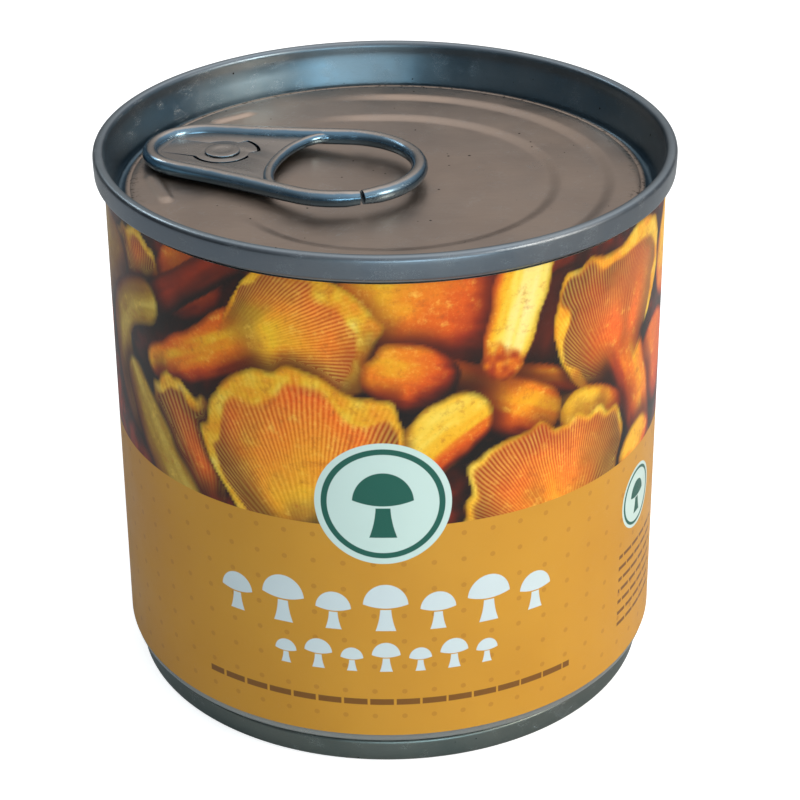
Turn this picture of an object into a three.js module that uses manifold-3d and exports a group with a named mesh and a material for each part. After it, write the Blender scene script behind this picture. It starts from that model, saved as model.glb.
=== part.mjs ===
// A sealed ring-pull food tin of chanterelle mushrooms: a tinplate body with a necked-in base,
// a full-aperture easy-open lid with a riveted pull tab, a base end, a paper label, and the
// mushrooms inside. Millimetres, +Z up, origin on the ground at the middle of the base.

import * as THREE from 'three';
import { mergeVertices } from 'three/addons/utils/BufferGeometryUtils.js';
import Module from 'manifold-3d';

// ---- driving dimensions -------------------------------------------------------------------

const HEIGHT = 74;                 // over both seams
const TOP_SEAM_RADIUS = 38.1;      // outside of the top double seam
const BASE_SEAM_RADIUS = 35.4;     // outside of the base double seam, small enough to stack
const BODY_RADIUS = 36.6;          // outside of the plain body wall
const SHEET = 0.24;                // thickness of the tinplate
const LAYER_PITCH = 0.32;          // spacing of the five layers of a double seam
const SEAM_HEIGHT = 3.2;
const CROWN_RADIUS = 0.44;         // rounding of the seam's crown, at the middle of the sheet
const HOOK_RADIUS = 0.32;          // rounding of the two hooks
const HOOK_LIFT = 1.25;            // height of the body hook's bend below the crown
const BODY_HOOK_TIP = 2.4;         // depth of the body hook's cut edge below the crown
const END_HOOK_TIP = 1.7;          // depth of the end hook's cut edge below the crown

const FLARE_DEPTH = 3.9;           // where the body starts to flare out to the top seam
const NECK_HEIGHT = 4.8;           // where the body starts to neck in to the base seam

const LABEL_GAP = 0.1;
const LABEL_THICKNESS = 0.1;
const LABEL_BOTTOM = 5.3;
const LABEL_TOP = HEIGHT - 4.0;

const PANEL_DEPTH = 5.5;           // lid panel below the crown
const PANEL_RADIUS = 34.2;
const COUNTERSINK_DEPTH = 6.5;
const COUNTERSINK_RADIUS = 34.8;
const SCORE_RADIUS = 33.5;
const SCORE_DEPTH = 0.1;
const SCORE_HALF_WIDTH = 0.18;
const RECESS_STEP = 0.4;           // drop of each of the lid's two shallow steps
const OUTER_STEP = [30.5, 28.4];   // radii where the outer step starts and ends
const INNER_STEP = [23.4, 21.4];
const RECESS_FADE = [5, 17];       // distance towards the rivet over which the steps die out

const RIVET_DISTANCE = 22.3;       // rivet from the lid's middle
const RIVET_AZIMUTH = 166.8;       // degrees, from +X towards +Y
const TAB_HEADING = -18.5;         // degrees, from the nose to the ring
const TAB_LEVEL = HEIGHT - 4.2;    // middle of the tab's curled edge
const CURL_RADIUS = 1.1;
const NOSE_RADIUS = 6.9;           // nose lobe, along the middle of the curl
const NOSE_CENTRE = -2.9;          // from the rivet, positive towards the ring
const RING_RADIUS = 10.7;
const RING_CENTRE = 16.4;
const FLANK_START = [1.5, 7.75];   // the nearly straight flank, along the middle of the curl,
const FLANK_END = [8.0, 9.05];     // as distances from the rivet and from the tab's long axis
const WEB_CORNER = [10.4, 8.9];    // end of the flat web beside the finger hole
const WEB_PULL = 5.3;              // how far the web's curved end is drawn back to the nose
const WEB_THICKNESS = 0.5;
const NOTCH_ANGLE = -55;           // degrees round the ring, where the curl's two ends meet
const NOTCH_HALF_ANGLE = 1.4;
const ISLAND_RADIUS = 3.7;
const TONGUE_HALF_WIDTH = 2.4;
const TAB_CLEARANCE = 0.35;        // between the tab and the tongue that stays on the lid
const RIVET_RADIUS = 1.6;
const RIVET_HEAD_RADIUS = 2.7;
const RIVET_HEAD_THICKNESS = 0.3;

const MUSHROOM_LAYERS = 2;
const MUSHROOMS_ROUND = 6;         // round each layer, with one more in the middle
const MUSHROOM_SPACING = 24;
const MUSHROOM_FLOOR = 7;
const LAYER_HEIGHT = 30.5;
const MUSHROOM_HEIGHT = 26;

const SEGMENTS = 36;               // facets round the tin
const MUSHROOM_SEGMENTS = 12;

// ---- finishes -----------------------------------------------------------------------------

const finish = (color, roughness, metalness) => () =>
  new THREE.MeshStandardMaterial({ color, roughness, metalness });
const tinplate = finish(0x5f6d78, 0.32, 1.0);
const lacqueredPlate = finish(0x857469, 0.38, 0.9);
const tabSteel = finish(0x6f858c, 0.28, 1.0);
const compound = finish(0x8d8f86, 0.8, 0.0);
const paper = finish(0xd49a3c, 0.35, 0.0);
const mushroomFlesh = finish(0xd98e22, 0.55, 0.0);

// ---- helpers ------------------------------------------------------------------------------

const degrees = THREE.MathUtils.degToRad;
const wasm = await Module();
wasm.setup();

// One closed surface: shared corners joined, and the empty triangles at a pole left out.
function welded(geometry) {
  const bare = geometry.clone();
  bare.deleteAttribute('normal');
  bare.deleteAttribute('uv');
  const merged = mergeVertices(bare, 1e-4);
  const index = merged.index.array;
  const kept = [];
  for (let i = 0; i < index.length; i += 3) {
    const [a, b, c] = [index[i], index[i + 1], index[i + 2]];
    if (a !== b && b !== c && c !== a) kept.push(a, b, c);
  }
  merged.setIndex(kept);
  return merged;
}

function toSolid(geometry) {
  const merged = welded(geometry);
  return new wasm.Manifold(new wasm.Mesh({
    numProp: 3,
    vertProperties: new Float32Array(merged.attributes.position.array),
    triVerts: new Uint32Array(merged.index.array),
  }));
}

function fromSolid(solid) {
  const mesh = solid.getMesh();
  const geometry = new THREE.BufferGeometry();
  geometry.setAttribute('position', new THREE.BufferAttribute(mesh.vertProperties, 3));
  geometry.setIndex(new THREE.BufferAttribute(mesh.triVerts, 1));
  geometry.computeVertexNormals();
  return geometry;
}

// A profile of [radius, height] points, turned about the Z axis.
function turned(profile, segments = SEGMENTS) {
  const points = profile.map((p) => new THREE.Vector2(p.x, p.y));
  const clockwise = THREE.ShapeUtils.isClockWise(points);
  if (clockwise) points.reverse();
  const onAxis = points[0].x === 0 && points[points.length - 1].x === 0;
  if (!onAxis) points.push(points[0].clone());
  const geometry = new THREE.LatheGeometry(points, segments);
  geometry.rotateX(Math.PI / 2);
  return welded(geometry);
}

// The outline of a bent sheet: its middle line, moved half the thickness to either side.
function sheetOutline(line, thickness) {
  const half = thickness / 2;
  const sides = [[], []];
  line.forEach((point, i) => {
    const before = line[Math.max(i - 1, 0)];
    const after = line[Math.min(i + 1, line.length - 1)];
    const into = point.clone().sub(before).normalize();
    const out = after.clone().sub(point).normalize();
    if (i === 0) into.copy(out);
    if (i === line.length - 1) out.copy(into);
    const along = into.clone().add(out).normalize();
    const stretch = half / Math.max(along.dot(out), 0.5);
    const normal = new THREE.Vector2(-along.y, along.x).multiplyScalar(stretch);
    sides[0].push(point.clone().add(normal));
    sides[1].push(point.clone().sub(normal));
  });
  return [...sides[0], ...sides[1].reverse()];
}

// Corners of a path with its round stretches divided into `steps` straight ones.
function corners(path, steps) {
  const points = path.getPoints(steps / 2);
  return points.filter((p, i) => i === 0 || p.distanceTo(points[i - 1]) > 1e-6);
}

// Puts a seam drawn downwards from its crown at height 0 onto the top or the base of the tin.
const onTop = (points) => points.map((p) => new THREE.Vector2(p.x, HEIGHT + p.y));
const onBase = (points) => points.map((p) => new THREE.Vector2(p.x, -p.y));

// The end's half of a double seam: up the chuck wall, over the flat crown, down the outside,
// and up again as the end hook. `outer` is the seam's outside radius.
function endSeam(outer) {
  const wall = outer - SHEET / 2;
  const chuck = wall - 4 * LAYER_PITCH;
  const crown = -SHEET / 2 - CROWN_RADIUS;
  const hook = -SEAM_HEIGHT + SHEET / 2 + HOOK_RADIUS;
  const path = new THREE.Path();
  path.moveTo(chuck, crown - 1.2);
  path.lineTo(chuck, crown);
  path.absarc(chuck + CROWN_RADIUS, crown, CROWN_RADIUS, Math.PI, Math.PI / 2, true);
  path.absarc(wall - CROWN_RADIUS, crown, CROWN_RADIUS, Math.PI / 2, 0, true);
  path.lineTo(wall, hook);
  path.absarc(wall - HOOK_RADIUS, hook, HOOK_RADIUS, 0, -Math.PI, true);
  path.lineTo(wall - 2 * HOOK_RADIUS, -END_HOOK_TIP);
  return corners(path, 4);
}

// The body's half: up the wall, over, and down as the body hook.
function bodySeam(outer) {
  const wall = outer - SHEET / 2 - 3 * LAYER_PITCH;
  const path = new THREE.Path();
  path.moveTo(wall, -SEAM_HEIGHT + 0.3);
  path.lineTo(wall, -HOOK_LIFT);
  path.absarc(wall + HOOK_RADIUS, -HOOK_LIFT, HOOK_RADIUS, Math.PI, 0, true);
  path.lineTo(wall + 2 * HOOK_RADIUS, -BODY_HOOK_TIP);
  return corners(path, 4);
}

// The sealing compound that fills the space under the crown, above the body hook.
function compoundSection(outer) {
  const middle = outer - SHEET / 2 - 2 * LAYER_PITCH;
  return [[-0.36, -0.74], [0.36, -0.74], [0.28, -0.46], [0, -0.32], [-0.28, -0.46]]
    .map(([across, height]) => new THREE.Vector2(middle + across, height));
}

const smoothstep = (low, high, value) => THREE.MathUtils.smoothstep(value, low, high);
const rivetDirection = new THREE.Vector2(1, 0)
  .rotateAround(new THREE.Vector2(), degrees(RIVET_AZIMUTH));
const rivetPosition = rivetDirection.clone().multiplyScalar(RIVET_DISTANCE);

// ---- the two ends, the body and their sealing rings ----------------------------------------

// How far the lid panel drops below its rim at a point: two steps that die out at the rivet.
function recessDepth(x, y) {
  const radius = Math.hypot(x, y);
  const towardsRivet = x * rivetDirection.x + y * rivetDirection.y;
  const steps = [OUTER_STEP, INNER_STEP]
    .map(([start, end]) => RECESS_STEP * (1 - smoothstep(end, start, radius)));
  return (steps[0] + steps[1]) * (1 - smoothstep(...RECESS_FADE, towardsRivet));
}

function lidGeometry() {
  const panel = HEIGHT - PANEL_DEPTH - SHEET / 2;
  const groove = HEIGHT - COUNTERSINK_DEPTH - SHEET / 2;
  const bend = COUNTERSINK_RADIUS - PANEL_RADIUS + 0.1;
  const path = new THREE.Path();
  path.moveTo(0, panel);
  for (const radius of [7, 14, ...INNER_STEP.toReversed(), ...OUTER_STEP.toReversed()]) {
    path.lineTo(radius, panel);
  }
  path.lineTo(SCORE_RADIUS - SCORE_HALF_WIDTH, panel);
  path.lineTo(SCORE_RADIUS, panel - SCORE_DEPTH);
  path.lineTo(SCORE_RADIUS + SCORE_HALF_WIDTH, panel);
  path.lineTo(PANEL_RADIUS - 0.25, panel);
  path.lineTo(PANEL_RADIUS - 0.1, panel - 0.2);
  path.absarc(COUNTERSINK_RADIUS, groove + bend, bend, -Math.PI, 0, false);
  const line = [...corners(path, 4), ...onTop(endSeam(TOP_SEAM_RADIUS))];
  const geometry = turned(sheetOutline(line, SHEET));
  const position = geometry.attributes.position;
  for (let i = 0; i < position.count; i += 1) {
    const drop = recessDepth(position.getX(i), position.getY(i));
    position.setZ(i, position.getZ(i) - drop);
  }
  return geometry;
}

// The rivet is a button drawn up out of the lid's own panel and flattened over the tab.
function rivetGeometry() {
  const foot = HEIGHT - PANEL_DEPTH - SHEET / 2;
  const seat = TAB_LEVEL + WEB_THICKNESS / 2 + 0.08;
  const profile = [
    [0, foot], [RIVET_RADIUS + 0.5, foot], [RIVET_RADIUS, foot + 0.5], [RIVET_RADIUS, seat],
    [RIVET_HEAD_RADIUS, seat], [RIVET_HEAD_RADIUS - 0.1, seat + RIVET_HEAD_THICKNESS * 0.7],
    [RIVET_HEAD_RADIUS - 0.5, seat + RIVET_HEAD_THICKNESS], [0, seat + RIVET_HEAD_THICKNESS],
  ].map(([radius, height]) => new THREE.Vector2(radius, height));
  return turned(profile, 16).translate(rivetPosition.x, rivetPosition.y, 0);
}

function bodyGeometry() {
  const wall = BODY_RADIUS - SHEET / 2;
  const base = onBase(bodySeam(BASE_SEAM_RADIUS)).reverse();
  const inner = base[base.length - 1].x;
  const neck = new THREE.CubicBezierCurve(
    new THREE.Vector2(inner, 2.95), new THREE.Vector2(inner, 4.0),
    new THREE.Vector2(wall, 3.5), new THREE.Vector2(wall, NECK_HEIGHT));
  const line = [
    ...base, ...neck.getPoints(6).slice(1),
    new THREE.Vector2(wall, HEIGHT - FLARE_DEPTH), ...onTop(bodySeam(TOP_SEAM_RADIUS)),
  ];
  return turned(sheetOutline(line, SHEET));
}

// The base end: a stiffened panel with two round expansion beads, and its own countersink.
function baseGeometry() {
  const panel = 4.4;
  const bead = 0.45;
  const path = new THREE.Path();
  path.moveTo(0, panel);
  for (const radius of [11.5, 20]) {
    path.lineTo(radius, panel);
    path.lineTo(radius + 1, panel + bead);
    path.lineTo(radius + 3, panel + bead);
    path.lineTo(radius + 4, panel);
  }
  path.lineTo(28.5, panel);
  path.lineTo(29.5, panel - bead);
  path.lineTo(31.6, panel - bead);
  path.lineTo(32.1, panel);
  path.absarc(32.75, panel + 0.3, 0.6, Math.PI * 0.9, 0.1, true);
  const line = [...corners(path, 4), ...onBase(endSeam(BASE_SEAM_RADIUS))];
  return turned(sheetOutline(line, SHEET));
}

function labelGeometry() {
  const inside = BODY_RADIUS + LABEL_GAP;
  const outside = inside + LABEL_THICKNESS;
  const profile = [
    [inside, LABEL_BOTTOM], [outside, LABEL_BOTTOM], [outside, LABEL_TOP], [inside, LABEL_TOP],
  ].map(([radius, height]) => new THREE.Vector2(radius, height));
  return turned(profile);
}

// ---- the pull tab, drawn with the rivet at the origin and the ring towards +X ---------------

// The middle line of the curled edge, from one side of the notch round the nose to the other.
function curlPoints() {
  const points = [];
  const ringPoint = (angle) => new THREE.Vector3(
    RING_CENTRE + RING_RADIUS * Math.cos(angle), RING_RADIUS * Math.sin(angle), 0);
  const joinAngle = degrees(104);
  const notch = degrees(NOTCH_ANGLE);
  const half = degrees(NOTCH_HALF_ANGLE);
  const arc = (from, to, count, place) => {
    for (let i = 0; i < count; i += 1) points.push(place(from + ((to - from) * i) / count));
  };
  arc(notch + half, joinAngle, 12, ringPoint);
  points.push(ringPoint(joinAngle));
  points.push(new THREE.Vector3(FLANK_END[0], FLANK_END[1], 0));
  points.push(new THREE.Vector3(FLANK_START[0], FLANK_START[1], 0));
  const nosePoint = (angle) => new THREE.Vector3(
    NOSE_CENTRE + NOSE_RADIUS * Math.cos(angle), NOSE_RADIUS * Math.sin(angle), 0);
  arc(degrees(103), degrees(257), 12, nosePoint);
  points.push(nosePoint(degrees(257)));
  points.push(new THREE.Vector3(FLANK_START[0], -FLANK_START[1], 0));
  points.push(new THREE.Vector3(FLANK_END[0], -FLANK_END[1], 0));
  arc(-joinAngle, notch - half, 6, ringPoint);
  points.push(ringPoint(notch - half));
  return points;
}

function circleShape(radius, sides) {
  const shape = new THREE.Shape();
  for (let i = 0; i < sides; i += 1) {
    const angle = (2 * Math.PI * (i + 0.5)) / sides;
    const corner = [radius * Math.cos(angle), radius * Math.sin(angle)];
    if (i === 0) shape.moveTo(...corner);
    else shape.lineTo(...corner);
  }
  shape.closePath();
  return shape;
}

// The curled hem, as a round bar that stops at the notch.
function curlGeometry() {
  const path = new THREE.CatmullRomCurve3(curlPoints(), false, 'centripetal');
  return new THREE.ExtrudeGeometry(circleShape(CURL_RADIUS, 8), { steps: 60, extrudePath: path });
}

// An island round the rivet with a tongue that runs to the nose, grown by `margin`.
function islandShape(margin) {
  const radius = ISLAND_RADIUS + margin;
  const half = TONGUE_HALF_WIDTH + margin;
  const insideCurl = Math.sqrt((NOSE_RADIUS - CURL_RADIUS) ** 2 - TONGUE_HALF_WIDTH ** 2);
  const tip = NOSE_CENTRE - insideCurl + TAB_CLEARANCE - 2 * margin;
  const open = Math.PI - Math.asin(half / radius);
  const shape = new THREE.Shape();
  shape.moveTo(tip, half);
  shape.lineTo(tip, -half);
  shape.absarc(0, 0, radius, -open, open, false);
  shape.closePath();
  return shape;
}

const plate = (shape) => new THREE.ExtrudeGeometry(
  shape, { depth: WEB_THICKNESS, bevelEnabled: false, curveSegments: 10 },
).translate(0, 0, -WEB_THICKNESS / 2);

// The flat web between the nose and the finger hole, with the island's slot cut out.
function webGeometry() {
  const shape = new THREE.Shape();
  shape.moveTo(WEB_CORNER[0], WEB_CORNER[1]);
  shape.lineTo(FLANK_END[0], FLANK_END[1]);
  shape.lineTo(FLANK_START[0], FLANK_START[1]);
  shape.absarc(NOSE_CENTRE, 0, NOSE_RADIUS, degrees(103), degrees(257), false);
  shape.lineTo(FLANK_START[0], -FLANK_START[1]);
  shape.lineTo(FLANK_END[0], -FLANK_END[1]);
  shape.lineTo(WEB_CORNER[0], -WEB_CORNER[1]);
  shape.quadraticCurveTo(WEB_PULL, 0, WEB_CORNER[0], WEB_CORNER[1]);
  const slot = toSolid(plate(islandShape(TAB_CLEARANCE)).scale(1, 1, 4));
  return fromSolid(toSolid(plate(shape)).subtract(slot));
}

const tabGeometry = () => fromSolid(toSolid(curlGeometry()).add(toSolid(webGeometry())));

function tongueGeometry() {
  const shape = islandShape(0);
  const hole = circleShape(RIVET_RADIUS + 0.15, 16);
  shape.holes.push(new THREE.Path(hole.getPoints().reverse()));
  return plate(shape);
}

// ---- a chanterelle: a stem that flares into a wavy funnel -----------------------------------

function mushroomGeometry(seed) {
  const capRadius = 8.6 + 1.4 * Math.sin(seed * 2.3);
  const height = MUSHROOM_HEIGHT - 2.5 * (1 + Math.cos(seed * 1.7));
  const profile = [
    [0, 0], [0.2, 0.02], [0.27, 0.2], [0.33, 0.48], [0.55, 0.72], [0.9, 0.9], [1, 0.97],
    [0.9, 1], [0.5, 0.88], [0, 0.8],
  ].map(([radius, level]) => new THREE.Vector2(radius * capRadius, level * height));
  const geometry = turned(profile, MUSHROOM_SEGMENTS);
  const position = geometry.attributes.position;
  for (let i = 0; i < position.count; i += 1) {
    const [x, y, z] = [position.getX(i), position.getY(i), position.getZ(i)];
    const rim = smoothstep(0.4, 1, Math.hypot(x, y) / capRadius);
    const turn = Math.atan2(y, x);
    const swell = 1 + 0.09 * rim * Math.sin(3 * turn + seed);
    const lift = 1.3 * rim * Math.sin(2 * turn + 1.4 * seed);
    const lean = 1.2 * Math.sin(seed) * (z / height) ** 2;
    position.setXYZ(i, x * swell + lean, y * swell, z + lift);
  }
  return geometry;
}

// ---- the assembly --------------------------------------------------------------------------

function named(name, geometry, material) {
  const mesh = new THREE.Mesh(geometry, material());
  mesh.name = name;
  return mesh;
}

const tin = new THREE.Group();
tin.add(named('can_body', bodyGeometry(), tinplate));
tin.add(named('lid_end',
  fromSolid(toSolid(lidGeometry()).add(toSolid(rivetGeometry()))), lacqueredPlate));
tin.add(named('base_end', baseGeometry(), tinplate));
tin.add(named('lid_sealing_ring', turned(onTop(compoundSection(TOP_SEAM_RADIUS))), compound));
tin.add(named('base_sealing_ring', turned(onBase(compoundSection(BASE_SEAM_RADIUS))), compound));
tin.add(named('paper_label', labelGeometry(), paper));

const tabMount = new THREE.Group();
tabMount.position.set(rivetPosition.x, rivetPosition.y, TAB_LEVEL);
tabMount.rotation.z = degrees(TAB_HEADING);
tabMount.add(named('pull_tab', tabGeometry(), tabSteel));
tabMount.add(named('rivet_tongue', tongueGeometry(), tabSteel));
tin.add(tabMount);

for (let layer = 0; layer < MUSHROOM_LAYERS; layer += 1) {
  for (let place = 0; place <= MUSHROOMS_ROUND; place += 1) {
    const seed = layer * (MUSHROOMS_ROUND + 1) + place + 1;
    const turn = (2 * Math.PI * place) / MUSHROOMS_ROUND;
    const distance = place < MUSHROOMS_ROUND ? MUSHROOM_SPACING : 0;
    const name = `chanterelle_${String(seed).padStart(2, '0')}`;
    const mushroom = named(name, mushroomGeometry(seed), mushroomFlesh);
    const upsideDown = seed % 3 === 0;
    const floor = MUSHROOM_FLOOR + layer * LAYER_HEIGHT + (upsideDown ? MUSHROOM_HEIGHT : 0);
    mushroom.position.set(distance * Math.cos(turn), distance * Math.sin(turn), floor);
    mushroom.rotation.set(upsideDown ? Math.PI : 0, 0, 1.9 * seed);
    tin.add(mushroom);
  }
}

export default tin;
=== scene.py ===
# %% [markdown]
# # A ring-pull can of mushrooms
# A food can is three stampings of tinned steel: a body rolled from a flat sheet, and two ends
# that are folded onto it in double seams. The top end is scored, so that a riveted tab can tear it
# open. A paper label is wrapped round the body and glued at the back, and mushrooms lie inside.
# Each of these pieces is made here the way that its factory makes it: the stampings are bent
# lines turned about the can's axis and given the thickness of the sheet, the tab's edge is a
# rolled bar, and the label is a flat print that is bent round the body.
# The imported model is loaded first. It fixes the place and size of every piece.

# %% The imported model
import math

import bmesh
import bpy
import numpy as np
from mathutils import Matrix, Quaternion, Vector


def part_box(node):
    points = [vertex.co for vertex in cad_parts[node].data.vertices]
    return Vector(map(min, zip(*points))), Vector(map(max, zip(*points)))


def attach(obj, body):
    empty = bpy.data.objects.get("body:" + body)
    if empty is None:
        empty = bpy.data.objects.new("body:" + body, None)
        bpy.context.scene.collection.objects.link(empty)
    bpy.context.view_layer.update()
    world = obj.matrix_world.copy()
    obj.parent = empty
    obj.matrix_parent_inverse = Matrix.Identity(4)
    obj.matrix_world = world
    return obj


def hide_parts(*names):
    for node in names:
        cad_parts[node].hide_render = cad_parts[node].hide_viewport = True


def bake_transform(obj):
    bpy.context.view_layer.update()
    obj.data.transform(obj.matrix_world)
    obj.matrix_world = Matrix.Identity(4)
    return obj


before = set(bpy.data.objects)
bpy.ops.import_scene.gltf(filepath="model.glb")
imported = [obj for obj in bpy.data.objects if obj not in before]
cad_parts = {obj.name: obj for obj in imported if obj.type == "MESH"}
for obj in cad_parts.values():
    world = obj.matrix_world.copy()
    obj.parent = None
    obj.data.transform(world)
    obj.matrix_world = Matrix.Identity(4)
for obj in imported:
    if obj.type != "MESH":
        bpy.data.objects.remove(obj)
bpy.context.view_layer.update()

MM = 0.001
print("nodes in the packed model:", len(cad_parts))

# %% [markdown]
# ## The camera
# The can is seen from a hand's height above the lid, from about 32 cm away, so the lid is a wide
# ellipse and the body narrows towards the base. A long lens at that distance keeps this
# perspective. The camera leans by half a degree, and the lens is shifted a little, so that the can
# stands slightly low in the picture without tilting its upright lines.

# %% Camera
CAMERA_DISTANCE = 320.3 * MM
CAMERA_HEIGHT_ANGLE = math.radians(26.5)
CAMERA_LEAN = math.radians(-0.58)
LOOK_AT = Vector((0, 0, 45.16 * MM))

lens = bpy.data.cameras.new("camera")
lens.lens = 105.8
lens.sensor_width = 36
lens.shift_x = 0.0164
lens.shift_y = -0.0828
lens.clip_start = 0.01
camera = bpy.data.objects.new("camera", lens)
bpy.context.collection.objects.link(camera)
towards = Vector((0, -math.cos(CAMERA_HEIGHT_ANGLE), math.sin(CAMERA_HEIGHT_ANGLE)))
camera.location = LOOK_AT + CAMERA_DISTANCE * towards
level = (-towards).to_track_quat("-Z", "Y")
camera.rotation_mode = "QUATERNION"
camera.rotation_quaternion = level @ Quaternion((0, 0, 1), CAMERA_LEAN)
bpy.context.scene.camera = camera
print("camera at", [round(c / MM, 1) for c in camera.location], "mm")

# %% [markdown]
# ## Node helpers
# A material is a small calculation over the surface. Wiring its nodes by hand takes many lines, so
# `Wire` holds one socket and turns + - * / into Math nodes. The patterns below then read like
# ordinary sums, and Blender still shows them as plain nodes.


# %% Wires: sums made of Math nodes
class Wire:
    """One output socket in a node tree, with arithmetic."""

    def __init__(self, tree, socket):
        self.tree = tree
        self.socket = socket

    def math(self, operation, *others):
        node = self.tree.nodes.new("ShaderNodeMath")
        node.operation = operation
        connect(self.tree, node.inputs[0], self)
        for place, other in enumerate(others, start=1):
            connect(self.tree, node.inputs[place], other)
        return Wire(self.tree, node.outputs[0])

    def __add__(self, other):
        return self.math("ADD", other)

    def __sub__(self, other):
        return self.math("SUBTRACT", other)

    def __mul__(self, other):
        return self.math("MULTIPLY", other)

    def __truediv__(self, other):
        return self.math("DIVIDE", other)

    def ramp(self, low, high):
        """0 where this is `low`, 1 where it is `high`, and smooth between."""
        return make(self.tree, "MapRange", "Result",
                    settings={"interpolation_type": "SMOOTHSTEP"},
                    Value=self, From_Min=low, From_Max=high)


def connect(tree, target, value):
    if isinstance(value, Wire):
        tree.links.new(value.socket, target)
    elif value is not None:
        target.default_value = value


def fill(tree, node, **inputs):
    """Sets or connects a node's inputs. Their names are written with _ for a space."""
    for name, value in inputs.items():
        connect(tree, node.inputs[name.replace("_", " ")], value)


def make(tree, kind, output=0, settings=(), **inputs):
    """Adds a node and returns one of its outputs."""
    node = tree.nodes.new("ShaderNode" + kind)
    for name, value in dict(settings).items():
        setattr(node, name, value)
    fill(tree, node, **inputs)
    return Wire(tree, node.outputs[output])


def split(position):
    node = position.tree.nodes.new("ShaderNodeSeparateXYZ")
    position.tree.links.new(position.socket, node.inputs[0])
    return [Wire(position.tree, output) for output in node.outputs]


def join(tree, x, y, z=0.0):
    return make(tree, "CombineXYZ", X=x, Y=y, Z=z)


def length(x, y):
    return (x * x + y * y).math("SQRT")


def scaled(position, x, y, z):
    """The position with each of its parts multiplied."""
    tree = position.tree
    node = tree.nodes.new("ShaderNodeVectorMath")
    node.operation = "MULTIPLY"
    tree.links.new(position.socket, node.inputs[0])
    node.inputs[1].default_value = (x, y, z)
    return Wire(tree, node.outputs[0])


def noise(position, scale, detail=3.0, roughness=0.5):
    return make(position.tree, "TexNoise", "Fac", Vector=position, Scale=scale, Detail=detail,
                Roughness=roughness)


def mix(tree, factor, below, above):
    """One colour laid over another."""
    node = tree.nodes.new("ShaderNodeMix")
    node.data_type = "RGBA"
    connect(tree, node.inputs["Factor"], factor)
    connect(tree, node.inputs[6], below)
    connect(tree, node.inputs[7], above)
    return Wire(tree, node.outputs[2])


def to_light(screen):
    """Screen values from 0 to 1, as the light values that shaders use."""
    return np.where(screen <= 0.04045, screen / 12.92, ((screen + 0.055) / 1.055) ** 2.4)


def linear(red, green, blue):
    """A colour picked as 0-255 screen values, as light values."""
    return (*to_light(np.array((red, green, blue)) / 255.0).tolist(), 1.0)


def new_group(name, inputs, outputs):
    """A node group with its named sockets. Returns the tree, its input wires and its exit."""
    tree = bpy.data.node_groups.new(name, "ShaderNodeTree")
    kinds = {"number": "NodeSocketFloat", "colour": "NodeSocketColor", "vector": "NodeSocketVector"}
    for socket, kind in inputs:
        tree.interface.new_socket(socket, in_out="INPUT", socket_type=kinds[kind])
    for socket, kind in outputs:
        tree.interface.new_socket(socket, in_out="OUTPUT", socket_type=kinds[kind])
    entry = tree.nodes.new("NodeGroupInput")
    leave = tree.nodes.new("NodeGroupOutput")
    wires = {socket: Wire(tree, entry.outputs[socket]) for socket, _ in inputs}
    return tree, wires, leave


def place_group(tree, group, **inputs):
    """Puts a group in a material and returns its outputs by name."""
    node = tree.nodes.new("ShaderNodeGroup")
    node.node_tree = group
    fill(tree, node, **inputs)
    return {output.name: Wire(tree, output) for output in node.outputs}


print("node helpers ready")

# %% [markdown]
# ## Marks that several finishes share
# Tin plate keeps the direction in which its coil was rolled, as faint parallel lines. Handling
# adds three more things: broad cloudy smudges, thin scratches that cross each other, and dark
# specks of dirt or chipped lacquer. Each is a node group with named dials, made once, and each
# material sets its own values.

# %% Groups: rolling lines, smudges, scratches, specks
rolling_lines, given, leave = new_group(
    "Rolling lines", [("Position", "vector"), ("Spacing", "number")], [("Lines", "number")])
fine = noise(scaled(given["Position"], 0.03, 1.0, 1.0), given["Spacing"], 4.0, 0.65)
connect(rolling_lines, leave.inputs["Lines"], fine)

handling, given, leave = new_group(
    "Handling marks",
    [("Position", "vector"), ("Smudge size", "number"), ("Scratches", "number"),
     ("Specks", "number")],
    [("Smudge", "number"), ("Scratch", "number"), ("Speck", "number")])
where = given["Position"]
smudge = noise(where, given["Smudge size"], 4.0, 0.6)
connect(handling, leave.inputs["Smudge"], smudge.ramp(0.3, 0.72))
thin = None
for turn, stretch in ((0.6, 1.3), (2.1, 0.9)):
    turned = make(handling, "VectorRotate", settings={"rotation_type": "Z_AXIS"},
                  Vector=where, Angle=turn)
    strokes = noise(scaled(turned, 0.05, stretch, stretch), 3.0, 2.0, 0.4)
    bend = strokes.math("SUBTRACT", 0.5).math("ABSOLUTE")
    line = bend.ramp(0.006, 0.0015) * noise(where, 0.35, 1.0).ramp(0.5, 0.62)
    thin = line if thin is None else thin.math("MAXIMUM", line)
connect(handling, leave.inputs["Scratch"], thin * given["Scratches"])
SPECK_SPACING = 0.7
SPECKLED_CELLS = (0.82, 0.86)
cells = handling.nodes.new("ShaderNodeTexVoronoi")
fill(handling, cells, Vector=where, Scale=SPECK_SPACING)
choice, dot_size, _ = split(Wire(handling, cells.outputs["Color"]))
dot = (dot_size * 0.1 + 0.05 - Wire(handling, cells.outputs["Distance"])).ramp(0.0, 0.035)
connect(handling, leave.inputs["Speck"], dot * choice.ramp(*SPECKLED_CELLS) * given["Specks"])
print("shared groups:", [g.name for g in bpy.data.node_groups])

# %% [markdown]
# ## Metal finishes
# All the metal here is steel, but each stamping has its own skin. The body keeps its bright tin.
# The lid's seam and chuck wall are a deeper blue-grey, and its panel is lacquered brown. The tab
# is plated dark blue and takes the hardest highlights. One function makes them all: a metallic
# shader with the shared marks in its colour, its roughness and its relief.


# %% Metal
def new_material(name):
    material = bpy.data.materials.new(name)
    material.use_nodes = True
    tree = material.node_tree
    shader = tree.nodes["Principled BSDF"]
    return material, tree, shader


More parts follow.
